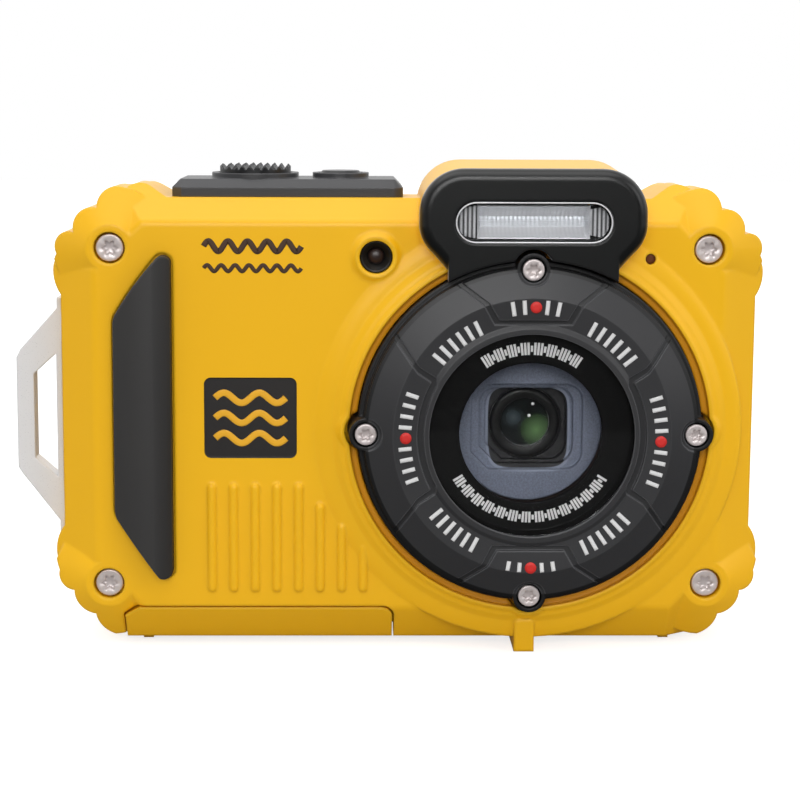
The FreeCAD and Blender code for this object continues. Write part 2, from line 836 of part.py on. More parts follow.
def make_front_shell():
    prism = slab("XZ", scalloped(), "collar_y - 1", "parting_y")
    slope = "(collar_round - moat_round - collar_land) / (face_y - collar_y)"
    collar = turned([
        ("face_y + 2", "collar_round + collar_foot"),
        ("face_y - 0.03", "collar_round + collar_foot"),
        ("face_y - 0.6", "collar_round - 0.6 * %s" % slope, "0.12"),
        ("collar_y + collar_lip", "moat_round + collar_land + collar_lip * %s" % slope),
        ("collar_y", "moat_round + collar_land", "-0.15"),
        ("collar_y", "moat_round - 2"),
        ("face_y + 2", "moat_round - 2"),
    ])
    place(collar, "ring_x", "0", "ring_z")
    timer_collar = turned([
        ("face_y + 1", "timer_hole - 0.5"),
        ("face_y + 1", "timer_collar + 0.3"),
        ("face_y + 0.2", "timer_collar + 0.3"),
        ("face_y - timer_proud", "timer_crest", "-0.3"),
        ("face_y - timer_proud + 0.2", "timer_hole - 0.5", "-0.05"),
    ])
    place(timer_collar, "timer_x", "0", "timer_z")
    raised = [bevelled_face(), collar]
    for x, z in LUGS[1:]:
        raised.append(taper("Y", "ring_x + " + x, "collar_y", "ring_z + " + z,
                            "moat_lug + collar_land", "moat_lug + 3", "2.6"))
    for x, z in SCREWS:
        raised.append(taper("Y", x, "face_y", z, "boss_round", "boss_round + boss_spread",
                            "bevel_deep"))
        raised.append(bar("Y", x, "face_y + bevel_deep", z, "boss_round + boss_spread",
                          "parting_y - face_y - bevel_deep"))
    raised.append(timer_collar)
    body = common(prism, fuse(*raised))

    hump = loft("XZ", flash_outline("-flash_inset", "hump_rise"), "parting_y",
                flash_outline("-flash_inset"), "flash_y + flash_thick")
    ribs = []
    for number in range(8):
        x = "rib_first + %d * rib_pitch" % number
        top = "rib_top - %d * rib_step" % max(0, number - 4)
        ribs.append(bar("Z", x, "face_y + 0.1", "rib_low", "rib_round", "%s - rib_low" % top))
        ribs.append(ball(x, "face_y + 0.1", "rib_low", "rib_round"))
        ribs.append(ball(x, "face_y + 0.1", top, "rib_round"))
    left, right = "foot_x - foot_wide / 2", "foot_x + foot_wide / 2"
    bulge = QUARTER + " * foot_round"
    foot = slab("XZ", [
        (left, "-foot_drop"), (right, "-foot_drop"), (right, "foot_rise - foot_round"),
        (right + " - foot_round", "foot_rise", bulge), (left + " + foot_round", "foot_rise"),
        (left, "foot_rise - foot_round", bulge),
    ], "foot_front", "foot_back")
    dress(foot, "Fillet", "foot_round / 2", foot_edge)
    skid = block("skid_x - skid_wide", "skid_x", "skid_front", "parting_y", "-foot_drop", "1")
    solid = fuse(body, hump, foot, skid, *ribs)

    inner = "body_half - side_wall"
    roof = "body_top - side_wall"
    wide = slab("XZ", octagon("-(%s)" % inner, inner, "floor_wall", roof, "cavity_corner"),
                "face_y + bevel_wall", "parting_y + 1")
    deep = slab("XZ", octagon("-core_half", "core_half", "core_low", "core_top", "core_corner"),
                "face_y + front_wall", "face_y + bevel_wall + 1")
    tools = [wide, deep]
    tools.append(bar("Y", "ring_x", "ring_y - 2", "ring_z", "moat_round",
                     "moat_floor_y - ring_y + 2"))
    tools.append(bar("Y", "ring_x", "ring_y - 2", "ring_z", "ring_base + fit_gap",
                     "seat_y - ring_y + 2"))
    tools.append(bar("Y", "ring_x", "seat_y - 1", "ring_z", "aperture", "4"))
    for x, z in LUGS:
        at = ("ring_x + " + x, "ring_z + " + z)
        tools.append(bar("Y", at[0], "ring_y - 2", at[1], "moat_lug", "seat_y - ring_y + 2"))
        tools.append(bar("Y", at[0], "seat_y - 1", at[1], "ring_screw_shank + rod_gap", "2"))
    tools.append(slab("XZ", flash_outline("0.1"), "flash_y - 1", "flash_y + flash_thick"))
    tools.append(block("ring_x - lamp_half + 0.3", "ring_x + lamp_half - 0.3",
                       "flash_y", "flash_y + flash_thick + 3.8",
                       "lamp_z - lamp_tall / 2 + 0.2", "lamp_z + lamp_tall / 2 - 0.2"))
    tools.append(bar("Y", "timer_x", "face_y - 2", "timer_z", "timer_hole", "6"))
    tools.append(bar("Y", "mic_x", "face_y - 1", "mic_z", "mic_hole", "5"))
    tools.append(slab("XZ", grip_outline("pad_gap"), "face_y - 1", "face_y + pad_sink"))
    tools.append(door_pocket("door_gap"))
    tools.append(block("mouth_left", "mouth_right", "mouth_front", "parting_y + 1",
                       "0.5", "floor_wall + 1"))
    tools.append(block("plate_left + 3", "plate_right - 3", "plate_front + 2", "parting_y + 1",
                       roof + " - 1", "body_top + 1"))
    for z in ("tongue_top - tongue_tall", "tongue_low"):
        tools.append(block("lug_plate_x - 2", "lug_plate_x + tongue_deep + 0.1",
                           "lug_y - 0.1", "lug_y + lug_thick + 0.1",
                           "%s - 0.1" % z, "%s + tongue_tall + 0.1" % z))
        tools.append(bar("Y", "lug_plate_x + tongue_deep - 1.4", "lug_y - 0.9",
                         "%s + tongue_tall / 2" % z, "lug_pin_round + 0.05", "10"))
    tools.append(block("lug_x_in - 1", "lug_plate_x + 0.2", "lug_y - 0.2",
                       "lug_y + lug_thick + 0.2", "lug_low - 0.2", "lug_top + 0.2"))
    tools.append(bolt_pocket())
    shell = cut(solid, *tools)
    shelves = []
    for x in ("plate_left + 4", "plate_right - 12"):
        shelves.append(block(x, x + " + 2", "face_y + front_wall - 0.5", "parting_y",
                             BOARD_LOW + " - 2", BOARD_LOW))
    posts, bores = [], []
    for x, z in SCREWS:
        posts.append(bar("Y", x, "face_y + front_wall - 0.5", z, "post_round",
                         "parting_y - face_y - front_wall + 0.5"))
        bores.append(bar("Y", x, "face_y - 1", z, "screw_bore", "screw_set + screw_head_deep + 1"))
        bores.append(bar("Y", x, "face_y", z, "screw_shank + rod_gap", "20"))
    finish("front_shell", cut(fuse(shell, *shelves, *posts), *bores))


BOARD_LOW = "stem_low - switch_drop - switch_tall - board_thick"
BOLT = ("latch_y - bolt_wide / 2", "latch_y + bolt_wide / 2", "0.25", "0.85")


def bolt_pocket():
    return block("door_right - 0.5", "door_right + latch_travel + 0.4",
                 BOLT[0] + " - 0.3", BOLT[1] + " + 0.3", "-0.1", "1.2")


# Rear shell


def rear_shell():
    inset = "rear_inset"
    prism = slab("XZ", scalloped(inset), "parting_y", "rear_y")
    depth = "rear_y - parting_y + 1"
    side, top = "body_half - rear_bevel", "body_top - rear_bevel"

    def frame(grow):
        return octagon("-(%s) - (%s)" % (side, grow), "%s + %s" % (side, grow),
                       "rear_bevel - (%s)" % grow, "%s + %s" % (top, grow),
                       "face_corner + 0.6 * (%s)" % grow)

    bevels = loft("XZ", frame("0"), "rear_y", frame(depth), "rear_y - (%s)" % depth)
    body = common(prism, bevels)
    hump_front = flash_outline("-flash_inset - rear_inset", "hump_rise")
    hump_end = flash_outline("-flash_inset - rear_inset - 2.2", "hump_rise")
    hump = loft("XZ", hump_end, "hump_back", hump_front, "hump_back - 3.5")
    ridge = slab("XZ", hump_front, "parting_y", "hump_back - 3.5")
    skid = block("skid_x - skid_wide", "skid_x", "parting_y", "skid_back", "-foot_drop", "1")
    solid = fuse(body, hump, ridge, skid)

    inner = "body_half - side_wall"
    roof = "body_top - side_wall"
    back = "rear_y - rear_wall"
    wide = slab("XZ", octagon("-(%s)" % inner, inner, "floor_wall", roof, "cavity_corner"),
                "parting_y - 1", "rear_y - rear_bevel_wall")
    deep = slab("XZ", octagon("-back_half", "back_half", "back_low", "back_top", "back_corner"),
                "rear_y - rear_bevel_wall - 1", back)
    tools = [wide, deep]
    tools.append(cut(
        slab("XZ", octagon("-(%s) - 1.3" % inner, inner + " + 1.3", "floor_wall - 1.3",
                           roof + " + 1", "groove_corner", "groove_low_corner"),
             "parting_y - 1", "parting_y + 1"),
        slab("XZ", octagon("-(%s) - 0.5" % inner, inner + " + 0.5", "floor_wall - 0.5",
                           roof + " + 0.4", "groove_corner", "groove_low_corner"),
             "parting_y - 2", "parting_y + 2")))
    tools.append(block("plate_left + 3", "plate_right - 3", "parting_y - 1", "plate_back - 2",
                       roof + " - 1", "body_top + 1"))
    tools.append(door_pocket("door_gap"))
    tools.append(block("mouth_left", "mouth_right", "parting_y - 1", "mouth_back",
                       "0.5", "floor_wall + 1"))
    left, right = "door_left - door_gap", "door_right + door_gap"
    tools.append(bar("X", left, "hinge_y", "hinge_z", "knuckle_round + door_gap",
                     "%s - (%s)" % (right, left)))
    tools.append(block(left, right, "hinge_y - 0.1", "hinge_y + swing_back", "-1", "hinge_z"))
    tools.append(bar("X", "door_left - pin_reach", "hinge_y", "hinge_z",
                     "pin_round + rod_gap", "door_right - door_left + 2 * pin_reach"))
    tools.append(slab("XZ", rounded("display_x - display_half - 0.1", "display_x + display_half + 0.1",
                                    "display_z - display_half_z - 0.1",
                                    "display_z + display_half_z + 0.1", "display_round"),
                      "rear_y - display_thick - 0.1", "rear_y + 1"))
    tools.append(block("display_x - view_half", "display_x + view_half", back + " - 1",
                       "rear_y", "display_z - view_half_z", "display_z + view_half_z"))
    tools.append(slab("XZ", rounded("keys_left", "keys_right", "keys_low", "keys_top", "2.5"),
                      "rear_y - keys_sink", "rear_y + 1"))
    for name, steps in KEYS:
        tools.append(key_solid(steps, "key_gap", back + " - 1", "rear_y + 1"))
    for row in (-1, 0, 1):
        z = "speaker_z + %d * speaker_pitch" % row
        tools.append(block("pad_x - speaker_slot", "pad_x + speaker_slot", back + " - 1",
                           "rear_y + 1", z + " - 0.4", z + " + 0.4"))
    shell = cut(solid, *tools)

    stands = []
    for x, z in (("main_left + 1", "main_low + 14"), ("main_left + 1", "main_top - 17.5"),
                 ("main_right - 1", "main_low + 2"), ("main_right - 20.5", "main_top - 1.5")):
        stands.append(bar("Y", x, "main_y + main_thick", z, "1.4",
                          "rear_y - rear_wall - main_y - main_thick + 0.5"))
    boss = bar("Z", "tripod_x", "tripod_y", "1", "socket_boss", "socket_tall - 1")
    screw_bores = []
    for x, z in SCREWS:
        stands.append(bar("Y", x, "parting_y", z, "post_round",
                          "rear_y - rear_wall - parting_y + 0.5"))
        screw_bores.append(bar("Y", x, "parting_y - 1", z, "screw_shank + rod_gap",
                               "face_y + screw_set + screw_long - parting_y + 1.2"))
    bored = cut(fuse(shell, boss, *stands), *screw_bores,
                bar("Z", "tripod_x", "tripod_y", "-1", "socket_round + 0.02", "12"),
                bar("Z", "tripod_x", "tripod_y", "-1", "socket_flange + 0.05", "2.05"))
    finish("rear_shell", bored)


# Each rear key has a name and the outline of its cap.
KEYS = []


def key_box(name, x, z, half, half_z, radius="1.2"):
    steps = ("box", x, z, half, half_z, radius)
    KEYS.append((name, steps))


def key_solid(steps, grow, low, high):
    kind, x, z, half, half_z, radius = steps
    if kind == "disc":
        return bar("Y", x, low, z, "%s + (%s)" % (half, grow), "(%s) - (%s)" % (high, low))
    outline = rounded("%s - %s - (%s)" % (x, half, grow), "%s + %s + (%s)" % (x, half, grow),
                      "%s - %s - (%s)" % (z, half_z, grow), "%s + %s + (%s)" % (z, half_z, grow),
                      "%s + (%s)" % (radius, grow))
    return slab("XZ", outline, low, high)


key_box("tele_key", "pad_x + 5.4", "pad_z + 24", "3.8", "2.6")
key_box("wide_key", "pad_x - 5.4", "pad_z + 24", "3.8", "2.6")
KEYS.append(("record_key", ("disc", "pad_x + 9", "pad_z + 15.6", "2.5", "", "")))
key_box("playback_key", "pad_x - 9", "pad_z + 15.6", "3.2", "2.0")
key_box("up_key", "pad_x", "pad_z + pad_step", "4.0", "2.0")
key_box("down_key", "pad_x", "pad_z - pad_step", "4.0", "2.0")
key_box("left_key", "pad_x + pad_step", "pad_z", "2.0", "4.0")
key_box("right_key", "pad_x - pad_step", "pad_z", "2.0", "4.0")
KEYS.append(("set_key", ("disc", "pad_x", "pad_z", "3.6", "", "")))
key_box("menu_key", "pad_x + 9", "pad_z - 15.6", "3.2", "2.0")
key_box("delete_key", "pad_x - 9", "pad_z - 15.6", "3.2", "2.0")


def rear_keys():
    back = "rear_y - rear_wall"
    for name, steps in KEYS:
        kind, x, z, half, half_z, radius = steps
        half_z = half_z or half
        cap = key_solid(steps, "0", back + " - 0.2", "rear_y")
        flange = block("%s - %s - key_flange_out" % (x, half), "%s + %s + key_flange_out" % (x, half),
                       back + " - key_flange", back, "%s - %s - key_flange_out" % (z, half_z),
                       "%s + %s + key_flange_out" % (z, half_z))
        stem = hexagon(x, back + " - key_flange - key_stem", z, "key_stem_round", "key_stem + 0.1")
        finish(name, fuse(cap, flange, stem))


# Seals and screws


def shell_gasket():
    inner = "body_half - side_wall"
    roof = "body_top - side_wall"
    ring = cut(
        slab("XZ", octagon("-(%s) - 1.2" % inner, inner + " + 1.2", "floor_wall - 1.2",
                           roof + " + 0.9", "groove_corner", "groove_low_corner"),
             "parting_y", "parting_y + 0.9"),
        slab("XZ", octagon("-(%s) - 0.6" % inner, inner + " + 0.6", "floor_wall - 0.6",
                           roof + " + 0.5", "groove_corner", "groove_low_corner"),
             "parting_y - 2", "parting_y + 2"),
        block("door_left - 1", "door_right + 1", "parting_y - 1", "parting_y + 2", "-1", "floor_wall"),
        block("plate_left + 2", "plate_right - 2", "parting_y - 1", "parting_y + 2",
              roof, "body_top + 1"))
    finish("shell_gasket", ring)


def screw(x, z, front, head, deep, shank, reach, drive):
    """A pan-head screw along Y with a six-sided drive socket in its head."""
    top = bar("Y", x, front, z, head, deep)
    stem = bar("Y", x, "%s + (%s)" % (front, deep), z, shank, "%s - (%s)" % (reach, deep))
    socket = hexagon(x, "%s - 1" % front, z, drive, "1 + (%s) * 0.6" % deep)
    return cut(fuse(top, stem), socket)


def screws():
    corner = [screw(x, z, "face_y + screw_set", "screw_head", "screw_head_deep",
                    "screw_shank", "screw_long", "drive_round") for x, z in SCREWS]
    finish("corner_screws", group(*corner))
    ring = [screw("ring_x + " + x, "ring_z + " + z, "lug_front + ring_screw_set",
                  "ring_screw_head", "ring_screw_deep", "ring_screw_shank",
                  "ring_screw_long", "ring_drive_round") for x, z in LUGS]
    finish("lens_ring_screws", group(*ring))


# Grip pad


def grip_pad():
    plan = slab("XZ", grip_outline(), "face_y - 4", "face_y + pad_sink")
    crest = slab("XY", [
        ("pad_left - 1", "face_y + pad_sink"),
        ("pad_right", "face_y + pad_sink"),
        ("pad_right", "face_y - pad_proud + pad_fall_deep"),
        ("pad_right - pad_fall", "face_y - pad_proud", "-0.2"),
        ("pad_left - 1", "face_y - 0.25", "-0.6"),
    ], "pad_tip_low - 3", "pad_tip_top + 3")
    finish("grip_pad", common(plan, crest))


# Lens ring and window


def ring_front(shift):
    """The ring's front from the marks' inner edge over the crest to the rim,
    moved forward or back along Y."""
    return [
        ("ring_y + ring_step + ring_fall + (%s)" % shift, "ring_mark"),
        ("ring_y + ring_step + (%s)" % shift, "ring_crest"),
        ("ring_rim_y + (%s)" % shift, "ring_face"),
    ]


def ring_profile():
    inside = [
        ("ring_skirt_y", "ring_face + 0.1"),
        ("ring_skirt_y", "ring_base - 0.2"),
        ("ring_skirt_y + 0.2", "ring_base"),
        ("seat_y", "ring_base"),
        ("seat_y", "glass_round + fit_gap"),
        ("glass_front", "glass_round + fit_gap"),
        ("glass_front", "ring_lip"),
        ("ring_lip_y", "ring_lip"),
        ("ring_lip_y", "ring_lip + ring_lip_wide"),
    ]
    return inside + ring_front("0")


def tab_profile():
    """The tabs stand in front of the ring by one step, and end inside it."""
    mark, crest, rim = ring_front("-ring_step")
    return [
        ("seat_y - 1", "ring_face"),
        ("seat_y - 1", "ring_mark + 0.3"),
        (mark[0], "ring_mark + 0.3"),
        crest,
        (rim[0], "ring_face - 0.15"),
        ("ring_rim_y + 1", "ring_face - 0.1"),
    ]


def border_profile():
    """The border grooves reach this far into the ring's front."""
    mark, crest, rim = ring_front("border_deep")
    return [
        ("ring_y - 1", "ring_mark - border_wide"),
        (mark[0], "ring_mark - border_wide"),
        mark,
        crest,
        rim,
        (rim[0], "ring_face + 1"),
        ("ring_y - 1", "ring_face + 1"),
    ]


def keystone(tip, tip_at, neck, neck_at, root, root_at, quarter, grow="0"):
    """A tab's outline, drawn at the top of the ring and turned in quarters."""
    flare = "(%s) + (%s - %s) / (%s - %s) * (28 - %s)" % (root, root, neck, root_at, neck_at, root_at)
    side = "(%s)" % grow
    half = [(tip + " + " + side, "%s - %s" % (tip_at, side)),
            ("%s + 1.2 * %s" % (neck, side), "%s - 0.4 * %s" % (neck_at, side)),
            ("%s + 1.2 * %s" % (root, side), "%s - 0.4 * %s" % (root_at, side)),
            ("%s + 1.2 * %s" % (flare, side), "28")]
    steps = half + [("-(%s)" % x, z) for x, z in reversed(half)]
    turned_steps = []
    for x, z in steps:
        for _ in range(quarter):
            x, z = z, "-(%s)" % x
        turned_steps.append((x, z))
    return slab("XZ", turned_steps, "ring_y - 1", "seat_y - 0.5")


def keystones(grow="0"):
    narrow = ("tab_tip", "tab_tip_z", "tab_neck", "tab_neck_z", "tab_root", "tab_root_z")
    broad = ("wing_tip", "wing_tip_x", "wing_neck", "wing_neck_x", "wing_root", "wing_root_x")
    return fuse(*[keystone(*(broad if quarter % 2 else narrow), quarter, grow)
                  for quarter in range(4)])


def lens_ring():
    tabs = common(turned(tab_profile()), keystones())
    borders = common(turned(border_profile()), keystones("border_wide"))
    lugs = [taper("Y", x, "lug_front", z, "lug_round", "lug_foot", "seat_y - lug_front")
            for x, z in LUGS]
    wells = [bar("Y", x, "ring_y - 1", z, "lug_round", "lug_front - ring_y + 1") for x, z in LUGS]
    bores = [bar("Y", x, "ring_y - 1", z, "lug_bore",
                 "lug_front - ring_y + 1 + ring_screw_set + ring_screw_deep") for x, z in LUGS]
    bores += [bar("Y", x, "ring_y", z, "ring_screw_shank + rod_gap", "9") for x, z in LUGS]
    grooved = cut(turned(ring_profile()), borders)
    ring = cut(fuse(grooved, tabs, *lugs), *wells, *bores)
    finish("lens_ring", ring, "ring_x", "0", "ring_z")


def window():
    back = "glass_front + glass_thick"
    glass = turned([("glass_front", "0"), (back, "0"), (back, "glass_round"),
                    ("glass_front", "glass_round")])
    finish("window_glass", glass, "ring_x", "0", "ring_z")
    mask = turned([(back, "mask_hole"), (back + " + mask_thick", "mask_hole"),
                   (back + " + mask_thick", "glass_round"), (back, "glass_round")])
    finish("window_mask", mask, "ring_x", "0", "ring_z")
    seal = turned([(back + " + mask_thick", "seal_hole"), ("seat_y", "seal_hole"),
                   ("seat_y", "glass_round"), (back + " + mask_thick", "glass_round")])
    finish("window_seal", seal, "ring_x", "0", "ring_z")


# Folded lens


def baffle():
    flange_y = "face_y + front_wall"
    body = turned([("seat_y + 0.4", "0"), ("baffle_back", "0"), ("baffle_back", "baffle_round"),
                   (flange_y + " + 1", "baffle_round"), (flange_y + " + 1", "baffle_flange"),
                   (flange_y, "baffle_flange"), (flange_y, "baffle_round"),
                   ("seat_y + 0.4", "baffle_round")])
    front = "seat_y + 0.4"
    for number, (x, z) in enumerate((("step_one_x", "step_one_z"), ("step_two_x", "step_two_z"),
                                     ("step_three_x", "step_three_z"))):
        pocket(body, "XZ", rounded("-" + x, x, "-" + z, z, "2.6"),
               "%s - 1 + %d * step_deep" % (front, number),
               "%s + %d * step_deep" % (front, number + 1))
    whole = cut(body, bar("Y", "0", "seat_y", "0", "barrel_round + 0.2", "8"))
    finish("lens_baffle", whole, "ring_x", "0", "ring_z")


def front_lens():
    """A domed front element in a stepped bezel that stands on the lens box."""
    bezel = turned([("baffle_back", "barrel_round"), ("baffle_back", "lens_view"),
                    ("lens_front + 0.1 - 1.2", "lens_view"), ("lens_front - 1.2", "4.4"),
                    ("lens_front - 1.2", "barrel_round - 0.4"), ("lens_front - 0.9", "barrel_round")])
    finish("lens_bezel", bezel, "ring_x", "0", "ring_z")
    element = turned([("baffle_back", "0"), ("baffle_back + 2.4", "0"), ("baffle_back + 2.4", "3.0"),
                      ("baffle_back + 1.2", "lens_round"), ("baffle_back", "lens_round")])
    finish("front_element", element, "ring_x", "0", "ring_z")


def folded_lens():
    middle = "ring_x"
    wall = "housing_wall"
    shell = block("housing_left", "housing_right", "baffle_back", "housing_back",
                  "housing_low", "housing_top")
    room = block("housing_left + " + wall, "housing_right - " + wall, "baffle_back + " + wall,
                 "housing_back - " + wall, "housing_low + " + wall, "housing_top - " + wall)
    mouth = bar("Y", middle, "baffle_back - 1", "ring_z", "lens_round + 0.1", "4")
    box = cut(shell, room, mouth)
    ledge = block("housing_left + 0.5", "ring_x - prism_half - 0.1", "optic_y - prism_half",
                  "optic_y + prism_half", "ring_z - prism_half - 1.5", "ring_z + prism_half")
    shelf = block("lead_x - 2.6", "housing_right - 0.5", "optic_y - 2.6", "housing_back - 0.5",
                  "motor_low - 1.2", "motor_low")
    bearing = block("lead_x - 1.8", "housing_right - 0.5", "optic_y - 2.6", "housing_back - 0.5",
                    "zoom_low - 2.4", "zoom_low - 1.2")
    screw_holes = bar("Z", "lead_x", "optic_y", "zoom_low - 3", "lead_round + rod_gap", "19")
    rod_holes = [bar("Z", x, "optic_y", "housing_low + 0.4", "rod_round", "24.5")
                 for x in (middle + " - rod_reach", middle + " + rod_reach")]
    bridge = block("ring_x - rod_reach - 1.2", "ring_x + rod_reach + 1.2", "optic_y + 3.6",
                   "housing_back - 0.5", "ring_z - prism_half - 1.5", "ring_z - prism_half - 0.1")
    arms = [block(x + " - 1.2", x + " + 1.2", "optic_y - 1.2", "optic_y + 4",
                  "ring_z - prism_half - 1.5", "ring_z - prism_half - 0.1")
            for x in (middle + " - rod_reach", middle + " + rod_reach")]
    whole = cut(fuse(box, ledge, shelf, bearing, bridge, *arms), screw_holes, *rod_holes)
    finish("lens_housing", whole)

    prism = slab("YZ", [("optic_y - prism_half", "ring_z - prism_half"),
                        ("optic_y + prism_half", "ring_z - prism_half"),
                        ("optic_y - prism_half", "ring_z + prism_half")],
                 "ring_x - prism_half", "ring_x + prism_half")
    finish("prism", prism)
    rods = [bar("Z", x, "optic_y", "housing_low + 0.4", "rod_round", "24.5")
            for x in (middle + " - rod_reach", middle + " + rod_reach")]
    finish("guide_rods", group(*rods))
    sensor = block("ring_x - sensor_half", "ring_x + sensor_half", "optic_y - sensor_half",
                   "optic_y + sensor_half", "housing_low + " + wall,
                   "housing_low + housing_wall + sensor_thick")
    finish("image_sensor", sensor)
    motor = bar("Z", "lead_x", "optic_y", "motor_low", "motor_round", "motor_tall")
    finish("zoom_motor", motor)
    lead = bar("Z", "lead_x", "optic_y", "zoom_low - 2.2", "lead_round", "motor_low - zoom_low + 2")
    finish("lead_screw", lead)

    for name, low, tall in (("zoom_group", "zoom_low", "zoom_tall"),
                            ("focus_group", "focus_low", "focus_tall")):
        frame = block("ring_x - rod_reach - 1", "ring_x + rod_reach + 1",
                      "optic_y - group_half + 0.4", "optic_y + group_half - 0.4", low,
                      "%s + %s" % (low, tall))
        pieces = [frame]
        if name == "zoom_group":
            pieces.append(block("ring_x + rod_reach", "lead_x + 1.8", "optic_y - 1.8",
                                "optic_y + 1.8", low, low + " + 2.6"))
        tools = [bar("Z", x, "optic_y", low + " - 1", "rod_round + rod_gap", tall + " + 2")
                 for x in (middle + " - rod_reach", middle + " + rod_reach")]
        if name == "zoom_group":
            tools.append(bar("Z", "lead_x", "optic_y", low + " - 1", "lead_round + rod_gap", "5"))
        tools.append(bar("Z", middle, "optic_y", low + " - 1", "group_lens", tall + " + 2"))
        lens = bar("Z", middle, "optic_y", low + " + 0.5", "group_lens", tall + " - 1")
        finish(name, fuse(cut(fuse(*pieces), *tools), lens))


# Flash


def flash():
    front = "flash_y"
    back = "flash_y + flash_thick"
    plate = slab("XZ", flash_outline(), front, back)
    dress(plate, "Fillet", "flash_rim", rim_edge)
    stadium_hole = stadium("ring_x", "lamp_z", "lamp_half", "lamp_tall",
                           front + " - 1", front + " + 1.5")
    lamp_hole = block("ring_x - lamp_half + 0.3", "ring_x + lamp_half - 0.3", front, back + " + 1",
                      "lamp_z - lamp_tall / 2 + 0.2", "lamp_z + lamp_tall / 2 - 0.2")
    inner = common(lamp_hole, stadium("ring_x", "lamp_z", "lamp_half - 0.5", "lamp_tall - 1",
                                      front, back + " + 1"))
    bezel = cut(plate, stadium_hole, inner,
                bar("Y", "ring_x", front + " - 1", "ring_z", "ring_base + 0.2", "6"),
                bar("Y", "ring_x", front + " - 1", "ring_z + lug_reach", "moat_lug - 0.1", "6"))
    finish("flash_bezel", bezel)

    pane = stadium("ring_x", "lamp_z", "lamp_half - 0.1", "lamp_tall - 0.2",
                   front + " + 0.1", front + " + 1.5")
    finish("flash_window", pane)

    z0, z1 = "lamp_z - reflector_tall / 2", "lamp_z + reflector_tall / 2"
    y0 = front + " + 1.8"
    trough = slab("YZ", [(y0, z0), (y0 + " + reflector_deep", z0), (y0 + " + reflector_deep", z1),
                         (y0, z1), (y0, z1 + " - 0.4"),
                         (y0, z0 + " + 0.4", "-(reflector_deep - 0.8)")],
                  "ring_x - reflector_half", "ring_x + reflector_half")
    finish("flash_reflector", trough)
    tube = bar("X", "ring_x - tube_half", y0 + " + 1.9", "lamp_z", "tube_round", "2 * tube_half")
    clips = [block("ring_x %s - 0.5" % at, "ring_x %s + 0.5" % at, y0 + " + 0.4",
                   y0 + " + reflector_deep", "lamp_z - 1.8", "lamp_z + 1.8")
             for at in ("- reflector_half - 0.8", "+ reflector_half + 0.8")]
    finish("flash_tube", fuse(tube, *clips))
    can = bar("Z", "body_half - side_wall - capacitor_round - 0.2", "parting_y + 1.5",
              "capacitor_low", "capacitor_round", "capacitor_tall")
    finish("flash_capacitor", can)


def rim_edge(edge):
    """An edge that lies in the bezel's front plane, above the waist."""
    box = edge.BoundBox
    flat = abs(box.YMin - size("flash_y")) < 0.01 and abs(box.YMax - size("flash_y")) < 0.01
    return flat and box.ZMax > size("flash_waist_z") + 0.01


def small_front_pieces():
    lamp = bar("Y", "timer_x", "face_y + 0.1", "timer_z", "timer_hole - 0.07", "3.4")
    finish("timer_lamp", lamp)
    microphone = bar("Y", "mic_x", "face_y + front_wall", "mic_z", "2", "1.6")
    finish("microphone", microphone)


# Top controls


def top_controls():
    top = "body_top + plate_tall"
    plate = slab("XY", rounded("plate_left", "plate_right", "plate_front", "plate_back", "1.5"),
                 "body_top", top)
    dress(plate, "Chamfer", "plate_bevel",
          lambda edge: abs(edge.BoundBox.ZMin - size(top)) < 0.01)
    rings, tools = [], []
    for x, collar, cap in (("shutter_x", "shutter_collar", "shutter_round"),
                           ("power_x", "power_collar", "power_round")):
        rings.append(bar("Z", x, "button_y", "body_top + 1", collar, "plate_tall - 1 + collar_proud"))
        tools.append(bar("Z", x, "button_y", "body_top + plate_floor", cap + " + button_gap", "6"))
        tools.append(bar("Z", x, "button_y", "body_top - 1", "stem_round + button_gap", "6"))
    finish("control_plate", cut(fuse(plate, *rings), *tools))

    for name, x, cap, height in (("shutter_button", "shutter_x", "shutter_round", "shutter_top"),
                                 ("power_button", "power_x", "power_round", "power_top")):
        low = "body_top + plate_floor + shutter_travel + 0.3"
        flange = "body_top - flange_thick"
        profile = [("0", "stem_low"), ("stem_round - 0.5", "stem_low"), ("stem_round - 0.5", flange),
                   ("stem_flange", flange), ("stem_flange", "body_top"), ("stem_round", "body_top"),
                   ("stem_round", low), (cap, low), (cap, height + " - 0.4"),
                   (cap + " - 0.4", height), ("0", height)]
        button = turned(profile, "Z")
        if name == "shutter_button":
            button = spiked(button)
        finish(name, button, x, "button_y", "0")

    plate_low = BOARD_LOW
    board = block("plate_left + 3.6", "plate_right - 4", "-2.4", "6", plate_low,
                  plate_low + " + board_thick")
    switches = [block(x + " - switch_wide / 2", x + " + switch_wide / 2",
                      "button_y - switch_wide / 2", "button_y + switch_wide / 2",
                      plate_low + " + board_thick - 0.01", "stem_low - switch_drop")
                for x in ("shutter_x", "power_x")]
    finish("top_switches", fuse(board, *switches))


def spiked(button):
    """Two crossing rows of V grooves leave a field of pyramids on the crown."""
    rows = []
    half = "spike_pitch / 2"
    for number in range(-4, 5):
        at = "%d * spike_pitch" % number
        groove = [("(%s) - %s" % (at, half), "shutter_top + 0.01"), (at, "shutter_top - spike_deep"),
                  ("(%s) + %s" % (at, half), "shutter_top + 0.01")]
        rows.append(slab("YZ", groove, "-7", "7"))
        rows.append(slab("XZ", groove, "-7", "7"))
    return cut(button, *rows)


# Strap lug


